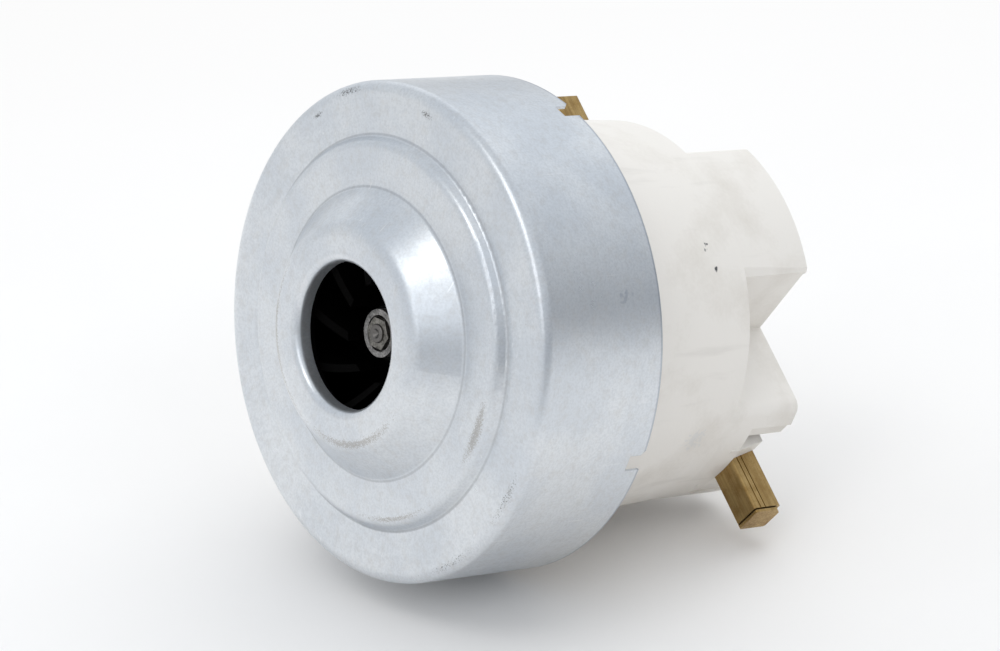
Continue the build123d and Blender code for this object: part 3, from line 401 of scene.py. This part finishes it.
bracket_sheet = plated_sheet("Plated bracket sheet", BRACKET_GREY, 0.38, 130.0)
dress(bracket_sheet, "rear_bearing_bridge", "front_bearing_bracket")
screw_steel = plated_sheet("Zinc plated screws", SCREW_GREY, 0.36, 500.0)
dress(screw_steel, "rear_bridge_screws", "bracket_screws", "stator_screws")

# HOUSING
# One warm white glass filled moulding: flange, drafted round, closed collar and the cross shaped box.
# The skin is matt with faint grey handling marks, two dark flecks and a bluish rub low on the side.
HOUSING_WHITE = (0.79, 0.76, 0.715, 1.0)
HANDLED_WHITE = (0.60, 0.56, 0.50, 1.0)
WIPED_GREY = (0.52, 0.49, 0.45, 1.0)
RUB_BLUE = (0.46, 0.50, 0.55, 1.0)
FLECK_BLACK = (0.06, 0.06, 0.065, 1.0)
RUB_PLACE = (0.0500, 0.0528, -0.0210)
RUB_SIZE = 0.005
RUB_GRAIN = 900.0
# Each fleck has its middle and its size.
FLECKS = (
    ((0.0439, 0.0522, 0.0323), 0.0015),
    ((0.0475, 0.0538, 0.0265), 0.0013),
)
FLECK_GRAIN = 650.0
FLECK_RAGGEDNESS = 2.4
FLECK_EDGE = (1.55, 1.85)


def fleck_group():
    """One small ragged mark round a place: one in its middle, nothing outside."""
    group, given, result = new_group(
        "Fleck",
        [
            ("Place", "NodeSocketVector", None),
            ("Middle", "NodeSocketVector", (0.0, 0.0, 0.0)),
            ("Size", "NodeSocketFloat", 0.001),
            ("Raggedness", "NodeSocketFloat", 900.0),
        ],
        [("Mark", "NodeSocketFloat")],
    )
    away = measured(group, "DISTANCE", given["Place"], given["Middle"])
    share = worked_out(group, "DIVIDE", away, given["Size"])
    rough = noise(group, given["Place"], given["Raggedness"], 2.0)
    bent = worked_out(group, "MULTIPLY_ADD", rough, FLECK_RAGGEDNESS, share)
    group.links.new(spread(group, bent, *FLECK_EDGE, 1.0, 0.0), result.inputs["Mark"])
    return group


FLECK = fleck_group()


def fleck(tree, place, middle, size, grain):
    """The fleck group at one place."""
    inputs = {"Place": place, "Middle": middle, "Size": size, "Raggedness": grain}
    return put(tree, "ShaderNodeGroup", inputs, node_tree=FLECK).outputs["Mark"]


def white_moulding():
    """Warm white plastic with handling marks, flecks and a fine moulded skin."""
    finish, tree, skin, place = new_finish("Warm white housing plastic", HOUSING_WHITE, 0.5)
    patches = mottled(tree, place, 45.0, 900.0, 0.12)
    shade = stained(tree, HOUSING_WHITE, patches["Patches"], 0.5, 0.72, 0.55, HANDLED_WHITE)
    wipes = stretched(tree, place, (220.0, 30.0, 220.0), 4.0)
    shade = stained(tree, shade, wipes, 0.6, 0.78, 0.3, WIPED_GREY)
    rub = fleck(tree, place, RUB_PLACE, RUB_SIZE, RUB_GRAIN)
    shade = stained(tree, shade, rub, 0.0, 1.0, 0.22, RUB_BLUE)
    for middle, size in FLECKS:
        shade = tint(tree, fleck(tree, place, middle, size, FLECK_GRAIN), shade, FLECK_BLACK)
    tree.links.new(shade, skin.inputs["Base Color"])
    uneven_gloss(tree, skin, patches["Patches"], 0.35, 0.65, 0.42, 0.62)
    relief(tree, skin, patches["Fine"], 0.25, 0.00012)
    return finish


dress(white_moulding(), "housing")

# BRUSH GEAR
# Each brush slides in a sleeve folded from brass sheet, its seam along the front, closed at the end by
# a folded tab. A black moulded holder keeps the sleeve square to the commutator.
SLEEVE_ANGLES = {"a": -40.0, "b": 140.0}
BRASS = (0.52, 0.365, 0.155, 1.0)
AGED_BRASS = (0.38, 0.245, 0.09, 1.0)
DRAWN_BROWN = (0.20, 0.115, 0.045, 1.0)
HOLDER_BLACK = (0.035, 0.033, 0.03, 1.0)
HOLDER_DUST = (0.12, 0.11, 0.10, 1.0)
CARBON_BLACK = (0.045, 0.045, 0.048, 1.0)
CARBON_GREY = (0.10, 0.10, 0.105, 1.0)
SPRING_GREY = (0.50, 0.50, 0.52, 1.0)
SPRING_TURNS = 13.0
LEAD_TURNS = 9.0
WIRE_RADIUS = 0.00035
WIRE_SIDES = 10
TURN_STEPS = 24


def aged_brass():
    """Folded brass gone brown, with draw lines along the sleeve."""
    finish, tree, skin, place = new_finish("Aged sleeve brass", (0.36, 0.24, 0.10, 1.0), 0.38, 1.0)
    lean = (0.0, radians(SLEEVE_ANGLES["a"]), 0.0)
    along = put(tree, "ShaderNodeMapping", {"Vector": place, "Rotation": lean})
    drawn = stretched(tree, along.outputs[0], (25.0, 1400.0, 1400.0), 3.0)
    patches = mottled(tree, place, 260.0, 2200.0, 0.3)["Patches"]
    shade = stained(tree, BRASS, patches, 0.4, 0.62, 1.0, AGED_BRASS)
    shade = stained(tree, shade, drawn, 0.35, 0.7, 0.42, DRAWN_BROWN)
    tree.links.new(shade, skin.inputs["Base Color"])
    uneven_gloss(tree, skin, drawn, 0.3, 0.7, 0.3, 0.52)
    relief(tree, skin, drawn, 0.4, 0.00006)
    return finish


dress(aged_brass(), "brush_sleeve_a", "brush_sleeve_b", "terminal_a", "terminal_b")
holder_plastic = moulded("Brush holder plastic", HOLDER_BLACK, 0.5, HOLDER_DUST, 0.4)
dress(holder_plastic, "brush_holder_a", "brush_holder_b")


def pressed_carbon():
    """Pressed carbon, grey black, slightly shiny where it rubs."""
    finish, tree, skin, place = new_finish("Pressed brush carbon", (0.05, 0.05, 0.053, 1.0), 0.45, 0.2)
    grains = mottled(tree, place, 400.0, 3000.0, 0.6)["Patches"]
    shade = stained(tree, CARBON_BLACK, grains, 0.4, 0.62, 1.0, CARBON_GREY)
    tree.links.new(shade, skin.inputs["Base Color"])
    return finish


dress(pressed_carbon(), "carbon_brush_a", "carbon_brush_b")
spring_steel = turned_steel("Drawn spring wire", SPRING_GREY, 0.3, 1800.0, 0.00002)


def helix_tree():
    """Wire wound as a helix along Z, then turned about Y and set down at its foot."""
    tree = bpy.data.node_groups.new("Wound Wire", "GeometryNodeTree")
    wanted = [
        ("Turns", "NodeSocketFloat"),
        ("Coil Radius", "NodeSocketFloat"),
        ("Length", "NodeSocketFloat"),
        ("Wire Radius", "NodeSocketFloat"),
        ("Foot", "NodeSocketVector"),
        ("Lean", "NodeSocketVector"),
        ("Finish", "NodeSocketMaterial"),
    ]
    for label, kind in wanted:
        tree.interface.new_socket(name=label, in_out="INPUT", socket_type=kind)
    tree.interface.new_socket(name="Wire", in_out="OUTPUT", socket_type="NodeSocketGeometry")
    given = put(tree, "NodeGroupInput").outputs
    line = put(
        tree,
        "GeometryNodeCurveSpiral",
        {
            "Resolution": TURN_STEPS,
            "Rotations": given["Turns"],
            "Start Radius": given["Coil Radius"],
            "End Radius": given["Coil Radius"],
            "Height": given["Length"],
        },
    )
    round_wire = put(
        tree,
        "GeometryNodeCurvePrimitiveCircle",
        {"Resolution": WIRE_SIDES, "Radius": given["Wire Radius"]},
    )
    drawn = put(
        tree,
        "GeometryNodeCurveToMesh",
        {"Curve": line.outputs[0], "Profile Curve": round_wire.outputs[0], "Fill Caps": True},
    )
    stood = put(
        tree,
        "GeometryNodeTransform",
        {"Geometry": drawn.outputs[0], "Translation": given["Foot"], "Rotation": given["Lean"]},
    )
    real = put(tree, "GeometryNodeRealizeInstances", {"Geometry": stood.outputs[0]})
    finished = put(
        tree,
        "GeometryNodeSetMaterial",
        {"Geometry": real.outputs[0], "Material": given["Finish"]},
    )
    last = put(tree, "NodeGroupOutput")
    tree.links.new(finished.outputs[0], last.inputs[0])
    return tree


HELIX_TREE = helix_tree()


def grown(name, tree, values):
    """A plain mesh piece made once by a geometry tree, its inputs given by name."""
    seed = bpy.data.objects.new(name + ".seed", bpy.data.meshes.new(name + ".seed"))
    bpy.context.scene.collection.objects.link(seed)
    maker = seed.modifiers.new("Maker", "NODES")
    maker.node_group = tree
    for socket in tree.interface.items_tree:
        if socket.in_out == "INPUT" and socket.name in values:
            maker[socket.identifier] = values[socket.name]
    ready = seed.evaluated_get(bpy.context.evaluated_depsgraph_get())
    mesh = bpy.data.meshes.new_from_object(ready)
    mesh.name = name
    for face in mesh.polygons:
        face.use_smooth = True
    piece = bpy.data.objects.new(name, mesh)
    bpy.context.scene.collection.objects.link(piece)
    bpy.data.objects.remove(seed)
    return piece


def wound_piece(node, angle, turns, finish):
    """A spring or a pigtail wound inside the box of its solid, which it stands in for, carried by the
    stator.
    """
    low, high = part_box(node)
    middle = (low + high) / 2
    size = high - low
    out = Vector((cos(radians(angle)), 0.0, sin(radians(angle))))
    length = (size.x - size.y * abs(out.z)) / abs(out.x)
    piece = grown(
        node + ".wire",
        HELIX_TREE,
        {
            "Turns": turns,
            "Coil Radius": size.y / 2 - WIRE_RADIUS,
            "Length": length - 2 * WIRE_RADIUS,
            "Wire Radius": WIRE_RADIUS,
            "Foot": middle - out * (length / 2 - WIRE_RADIUS),
            "Lean": Vector((0.0, radians(90.0 - angle), 0.0)),
            "Finish": finish,
        },
    )
    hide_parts(node)
    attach(piece, "stator")
    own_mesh(piece)


for tag, angle in SLEEVE_ANGLES.items():
    wound_piece("brush_spring_" + tag, angle, SPRING_TURNS, spring_steel)
    wound_piece("brush_lead_" + tag, angle, LEAD_TURNS, copper_wire)

# DIFFUSER AND IMPELLER
# Black mouldings: the vaned disc that turns the air back over the motor, and the fan wheel in front
# of it with its own thin shroud. Their black and their dust are painted far darker than black plastic,
# as painted shade for the dark inside of the inlet. A distance sleeve sets the wheel off the front
# bearing, and a dull washer and nut hold it on the shaft.
# Painted shade: both colours sit far below the other black plastics, for the dark inside the inlet.
FAN_SHADE_BLACK = (0.0013, 0.0012, 0.0011, 1.0)
FAN_DUST_IN_SHADE = (0.002, 0.0018, 0.0017, 1.0)
WASHER_GREY = (0.30, 0.29, 0.28, 1.0)
NUT_GREY = (0.21, 0.20, 0.18, 1.0)
fan_plastic_in_shade = moulded("Fan wheel plastic painted as shade", FAN_SHADE_BLACK, 0.45, FAN_DUST_IN_SHADE, 0.5, Specular_IOR_Level=0.03)
dress(fan_plastic_in_shade, "impeller", "impeller_shroud", "diffuser")
dress(shaft_steel, "impeller_spacer")


def cast_grain(name, base, rough):
    """Dull steel with the dry grain of a barrel finished washer."""
    finish, tree, skin, place = new_finish(name, base, rough, 0.9)
    grains = mottled(tree, place, 420.0, 1500.0, 0.55)["Patches"]
    shade = stained(tree, darkened(base, 1.35), grains, 0.38, 0.62, 1.0, darkened(base, 0.5))
    tree.links.new(shade, skin.inputs["Base Color"])
    uneven_gloss(tree, skin, grains, 0.35, 0.65, rough - 0.1, rough + 0.15)
    relief(tree, skin, grains, 0.5, 0.00012)
    return finish


dress(cast_grain("Grainy washer steel", WASHER_GREY, 0.5), "impeller_washer")
dress(cast_grain("Dull nut steel", NUT_GREY, 0.42), "impeller_nut")

# FAN COVER
# One deep drawn steel sheet, bright zinc plated, satin and finely speckled, with bluish clouds, a thin
# line of painted shade in the crease at the foot of its cone and of its step, and a band of painted shade
# just inside its rim. Its throat is duller. Small chips sit along the outer bend, grime follows the hub and
# the step, and one blotch is on the side.
ZINC = (0.735, 0.76, 0.785, 1.0)
CLOUD_BLUE = (0.63, 0.67, 0.72, 1.0)
SPECKLE_GREY = (0.52, 0.545, 0.57, 1.0)
SPUN_GREY = (0.50, 0.51, 0.53, 1.0)
HANDLED_GREY = (0.55, 0.535, 0.51, 1.0)
RIM_SHADE_BLUE = (0.33, 0.36, 0.42, 1.0)
FOOT_SHADE_GREY = (0.30, 0.31, 0.33, 1.0)
BLOTCH_BLUE = (0.28, 0.32, 0.40, 1.0)
SCRATCH_WHITE = (0.95, 0.96, 0.97, 1.0)
GRIME_BROWN = (0.27, 0.235, 0.19, 1.0)
CHIP_BLACK = (0.05, 0.045, 0.042, 1.0)
COVER_RIM_Y = max(corner[1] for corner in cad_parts["fan_cover"].bound_box)
# How far back from the rim a band of painted shade starts and ends.
RIM_SHADE_SPAN = (0.0007, 0.0004)
# The creases that get a thin line of painted shade, with the line's span and ease.
SHADED_FOOT_RADII = (0.0395, 0.0533)
FOOT_SHADE_LINE = (-0.0002, 0.0001)
FOOT_SHADE_EASE = 0.0003
THROAT_RADIUS = 0.0202
THROAT_EASE = 0.0003
EDGE_ROUNDING = 0.00025
SIDE_BLOTCH = (0.0622, 0.0085, 0.0262)
BLOTCH_SIZE = 0.0028
BLOTCH_GRAIN = 700.0
SCRATCH_STRETCH = (60.0, 1.0, 14.0)
SCRATCH_SCALE = 26.0
# Each chip and each smear of grime has its radius, angle in degrees, length, width and cover.
CHIPS = (
    (0.0655, 114.0, 0.0085, 0.0019, 0.30),
    (0.0630, 127.0, 0.0040, 0.0012, 0.32),
    (0.0625, 83.5, 0.0045, 0.0017, 0.31),
    (0.0650, -25.0, 0.0170, 0.0024, 0.23),
    (0.0655, -52.0, 0.0180, 0.0020, 0.22),
)
GRIME = (
    (0.0490, -15.0, 0.0145, 0.0026, 0.40),
    (0.0288, -70.0, 0.0300, 0.0021, 0.37),
    (0.0292, -165.0, 0.0340, 0.0019, 0.36),
    (0.0497, -68.0, 0.0240, 0.0014, 0.33),
)
CHIP_GRAIN = 2600.0
GRIME_GRAIN = 2400.0
SMEAR_EDGE = (0.70, 0.92)


def ring_smear_group():
    """Grime along an arc round the shaft: thickest in its middle, broken up by a fine grain."""
    group, given, result = new_group(
        "Ring Smear",
        [
            ("Place", "NodeSocketVector", None),
            ("Radius", "NodeSocketFloat", 0.05),
            ("Angle", "NodeSocketFloat", 0.0),
            ("Length", "NodeSocketFloat", 0.01),
            ("Width", "NodeSocketFloat", 0.002),
            ("Cover", "NodeSocketFloat", 0.2),
            ("Grain", "NodeSocketFloat", 1500.0),
        ],
        [("Mark", "NodeSocketFloat")],
    )
    turned = put(
        group,
        "ShaderNodeVectorRotate",
        {"Vector": given["Place"], "Angle": given["Angle"]},
        rotation_type="Y_AXIS",
    )
    apart = put(group, "ShaderNodeSeparateXYZ", {0: turned.outputs[0]}).outputs
    angle = worked_out(group, "ARCTAN2", apart[2], apart[0])
    arc = worked_out(group, "MULTIPLY", angle, given["Radius"])
    along = worked_out(group, "DIVIDE", arc, given["Length"])
    out = worked_out(group, "SUBTRACT", shaft_distance(group, apart), given["Radius"])
    over = worked_out(group, "DIVIDE", out, given["Width"])
    spot = put(group, "ShaderNodeCombineXYZ", {0: along, 1: over})
    thick = spread(group, measured(group, "LENGTH", spot.outputs[0]), 0.2, 1.0, 1.0, 0.0)
    grain = noise(group, given["Place"], given["Grain"], 4.0, Roughness=0.6)
    raised = worked_out(group, "MULTIPLY_ADD", thick, given["Cover"], grain)
    group.links.new(spread(group, raised, *SMEAR_EDGE, 0.0, 1.0), result.inputs["Mark"])
    return group


RING_SMEAR = ring_smear_group()


def ring_smear(tree, place, smear, grain):
    """The ring smear group with the five sizes of one smear."""
    radius, angle, length, width, cover = smear
    inputs = {
        "Place": place,
        "Radius": radius,
        "Angle": radians(angle),
        "Length": length,
        "Width": width,
        "Cover": cover,
        "Grain": grain,
    }
    return put(tree, "ShaderNodeGroup", inputs, node_tree=RING_SMEAR).outputs["Mark"]


def hairlines(tree, place, stretch, scale):
    """Thin scattered scratches: a stretched noise cut near its crest, inside loose patches."""
    drawn = put(tree, "ShaderNodeMapping", {"Vector": place, "Scale": stretch})
    lines = spread(tree, noise(tree, drawn.outputs[0], scale, 1.0), 0.70, 0.73, 0.0, 1.0)
    patches = spread(tree, noise(tree, place, 55.0, 2.0), 0.52, 0.62, 0.0, 1.0)
    return worked_out(tree, "MULTIPLY", lines, patches)


def zinc_plate():
    """Satin zinc plating: speckle, clouds, painted shade along the rim and in the creases at the feet,
    hairlines, chips and grime.
    """
    finish, tree, skin, place = new_finish("Satin zinc plate", ZINC, 0.38, 1.0)
    marks = turned_marks(tree, place, 700.0)
    clouds = mottled(tree, place, 42.0, 1500.0, 0.1)
    shade = stained(tree, ZINC, clouds["Patches"], 0.42, 0.58, 0.6, CLOUD_BLUE)
    shade = stained(tree, shade, clouds["Fine"], 0.40, 0.66, 0.30, SPECKLE_GREY)
    shade = stained(tree, shade, marks["Marks"], 0.55, 0.75, 0.12, SPUN_GREY)
    grained = noise(tree, place, 380.0, 6.0, Roughness=0.7)
    shade = stained(tree, shade, grained, 0.48, 0.66, 0.26, HANDLED_GREY)
    along = put(tree, "ShaderNodeSeparateXYZ", {0: place}).outputs[1]
    # Painted shade: a dark bluish band just inside the rim, for the shading of its edge.
    rim_shade_start, rim_shade_end = (COVER_RIM_Y - back for back in RIM_SHADE_SPAN)
    shade = stained(tree, shade, along, rim_shade_start, rim_shade_end, 0.55, RIM_SHADE_BLUE)
    # Painted shade: a thin dark line in the crease at the foot of the cone and of the step.
    for foot in SHADED_FOOT_RADII:
        line = band(tree, marks["Radius"], foot + FOOT_SHADE_LINE[0], foot + FOOT_SHADE_LINE[1], FOOT_SHADE_EASE)
        shade = stained(tree, shade, line, 0.0, 1.0, 0.38, FOOT_SHADE_GREY)
    blotch = fleck(tree, place, SIDE_BLOTCH, BLOTCH_SIZE, BLOTCH_GRAIN)
    shade = stained(tree, shade, blotch, 0.0, 1.0, 0.35, BLOTCH_BLUE)
    scratches = hairlines(tree, place, SCRATCH_STRETCH, SCRATCH_SCALE)
    shade = stained(tree, shade, scratches, 0.0, 1.0, 0.35, SCRATCH_WHITE)
    for smear in GRIME:
        mark = ring_smear(tree, place, smear, GRIME_GRAIN)
        shade = stained(tree, shade, mark, 0.0, 0.7, 0.5, GRIME_BROWN)
    for smear in CHIPS:
        mark = ring_smear(tree, place, smear, CHIP_GRAIN)
        shade = stained(tree, shade, mark, 0.15, 0.75, 0.80, CHIP_BLACK)
    tree.links.new(shade, skin.inputs["Base Color"])
    cloud_gloss = spread(tree, clouds["Patches"], 0.35, 0.65, 0.27, 0.40)
    grain_gloss = spread(tree, grained, 0.35, 0.7, 0.26, 0.48)
    tree.links.new(between(tree, 0.35, cloud_gloss, grain_gloss), skin.inputs["Roughness"])
    throat_end = THROAT_RADIUS + THROAT_EASE
    metal = spread(tree, marks["Radius"], THROAT_RADIUS, throat_end, 0.8, 1.0)
    tree.links.new(metal, skin.inputs["Metallic"])
    soft = put(tree, "ShaderNodeBevel", {"Radius": EDGE_ROUNDING}, samples=4)
    bump = relief(tree, skin, clouds["Fine"], 0.15, 0.00006)
    tree.links.new(soft.outputs[0], bump.inputs["Normal"])
    return finish


dress(zinc_plate(), "fan_cover")

# STUDIO
# The motor rests on the rim of its cover and the corners of its rear box, so the table is tilted
# under it. The paper fades into the white of the room. Two soft windows stand in front, and the
# other three lamps only give light and don't show in the metal.
WHITE = (1.0, 1.0, 1.0, 1.0)
PAPER = (0.85, 0.838, 0.825, 1.0)
PAPER_GREY = (0.835, 0.822, 0.808, 1.0)
ROOM_WHITE = 0.97
ROOM_STRENGTH = 0.8
TABLE_POINT = Vector((0.0, 0.0203, -0.0675))
TABLE_TILT = radians(13.9)
TABLE_UP = Vector((0.0, -sin(TABLE_TILT), cos(TABLE_TILT)))
TABLE_HALF = 3.0
TABLE_FADE = (0.18, 0.5)
TABLE_CORNERS = ((-1, -1), (1, -1), (1, 1), (-1, 1))
WINDOW_SIDE = Vector((-0.80, -0.60, 0.0))
SKY_SIDE = Vector((-0.57, 0.82, 0.0))
LOW_SHADE = (0.31, 0.33, 0.36, 1.0)
LOW_LIGHT = (1.05, 1.07, 1.09, 1.0)
HIGH_SHADE = (0.93, 0.97, 1.02, 1.0)
HIGH_LIGHT = (1.42, 1.47, 1.53, 1.0)


def table():
    """A pale sheet of paper that fades into the white room, and that the camera sees through from below."""
    side = Vector((1.0, 0.0, 0.0))
    ahead = TABLE_UP.cross(side)
    corners = [TABLE_POINT + TABLE_HALF * (a * side + b * ahead) for a, b in TABLE_CORNERS]
    mesh = bpy.data.meshes.new("table")
    mesh.from_pydata([tuple(c) for c in corners], [], [(0, 1, 2, 3)])
    sheet = bpy.data.objects.new("table", mesh)
    bpy.context.scene.collection.objects.link(sheet)
    finish, tree, skin, place = new_finish("Pale paper", PAPER, 0.9)
    shade = stained(tree, PAPER, noise(tree, place, 8.0, 3.0), 0.35, 0.65, 1.0, PAPER_GREY)
    tree.links.new(shade, skin.inputs["Base Color"])
    seen = put(tree, "ShaderNodeLightPath").outputs["Is Camera Ray"]
    away = measured(tree, "DISTANCE", place, TABLE_POINT)
    far = worked_out(tree, "MULTIPLY", spread(tree, away, *TABLE_FADE, 0.0, 1.0), seen)
    white = put(tree, "ShaderNodeEmission", {"Color": WHITE, "Strength": ROOM_WHITE})
    faded = put(tree, "ShaderNodeMixShader", {0: far, 1: skin.outputs[0], 2: white.outputs[0]})
    under = put(tree, "ShaderNodeNewGeometry").outputs["Backfacing"]
    hidden = worked_out(tree, "MULTIPLY", under, seen)
    clear = put(tree, "ShaderNodeBsdfTransparent")
    shown = put(tree, "ShaderNodeMixShader", {0: hidden, 1: faded.outputs[0], 2: clear.outputs[0]})
    tree.links.new(shown.outputs[0], tree.nodes["Material Output"].inputs["Surface"])
    mesh.materials.append(finish)


table()

# The metal reflects a room that is bright high up and on the window side, and grey low on the other.
world = bpy.data.worlds.new("Pale room")
bpy.context.scene.world = world
world.use_nodes = True
room = world.node_tree
room.nodes.clear()
look = put(room, "ShaderNodeTexCoord").outputs["Generated"]
window_share = measured(room, "DOT_PRODUCT", look, WINDOW_SIDE)
low_room = stained(room, LOW_SHADE, window_share, -0.25, 0.55, 1.0, LOW_LIGHT)
sky_share = measured(room, "DOT_PRODUCT", look, SKY_SIDE)
high_room = stained(room, HIGH_SHADE, sky_share, 0.3, 0.8, 1.0, HIGH_LIGHT)
height = measured(room, "DOT_PRODUCT", look, TABLE_UP)
ramp = stained(room, low_room, height, 0.0, 0.55, 1.0, high_room)
soft = put(room, "ShaderNodeBackground", {"Color": ramp, "Strength": ROOM_STRENGTH})
plain = put(room, "ShaderNodeBackground", {"Color": WHITE, "Strength": ROOM_WHITE})
seen = put(room, "ShaderNodeLightPath").outputs["Is Camera Ray"]
both = put(room, "ShaderNodeMixShader", {0: seen, 1: soft.outputs[0], 2: plain.outputs[0]})
put(room, "ShaderNodeOutputWorld", {"Surface": both.outputs[0]})


def softbox(name, place, size, power, colour=(1.0, 1.0, 1.0), mirrored=True):
    """A square soft lamp turned towards the motor, which shows in the metal where it is mirrored."""
    lamp = bpy.data.lights.new(name, "AREA")
    lamp.size = size
    lamp.energy = power
    lamp.color = colour
    held = bpy.data.objects.new(name, lamp)
    bpy.context.scene.collection.objects.link(held)
    held.location = place
    held.rotation_euler = (-Vector(place)).to_track_quat("-Z", "Y").to_euler()
    held.visible_glossy = mirrored


softbox("high window", (0.16, -0.82, 0.90), 0.46, 1.25, (1.0, 1.0, 0.98))
softbox("low window", (0.46, -0.92, 0.42), 0.46, 0.6)
softbox("fill", (1.0, -0.10, 0.55), 0.8, 1.6, mirrored=False)
softbox("side", (-1.0, -0.75, 0.45), 0.9, 3.0, mirrored=False)
softbox("ceiling", (-0.30, 0.60, 1.25), 1.8, 9.0, (1.0, 0.985, 0.96), mirrored=False)

# The camera looks into the inlet from the front and one side, a little above it, with a long lens.
CAMERA_PLACE = (0.888878, -0.761875, 0.323541)
CAMERA_RIGHT = Vector((0.62789, 0.76706, 0.13178))
CAMERA_UP = Vector((-0.28665, 0.07050, 0.95544))
CAMERA_BACK = Vector((0.72359, -0.63769, 0.26414))
eye = bpy.data.cameras.new("view")
eye.sensor_width = 36.0
eye.lens = 162.0
eye.clip_start = 0.01
stand = bpy.data.objects.new("view", eye)
bpy.context.scene.collection.objects.link(stand)
turn = Matrix((CAMERA_RIGHT, CAMERA_UP, CAMERA_BACK)).transposed().to_4x4()
stand.matrix_world = Matrix.Translation(CAMERA_PLACE) @ turn
bpy.context.scene.camera = stand
bpy.context.scene.view_settings.view_transform = "Standard"
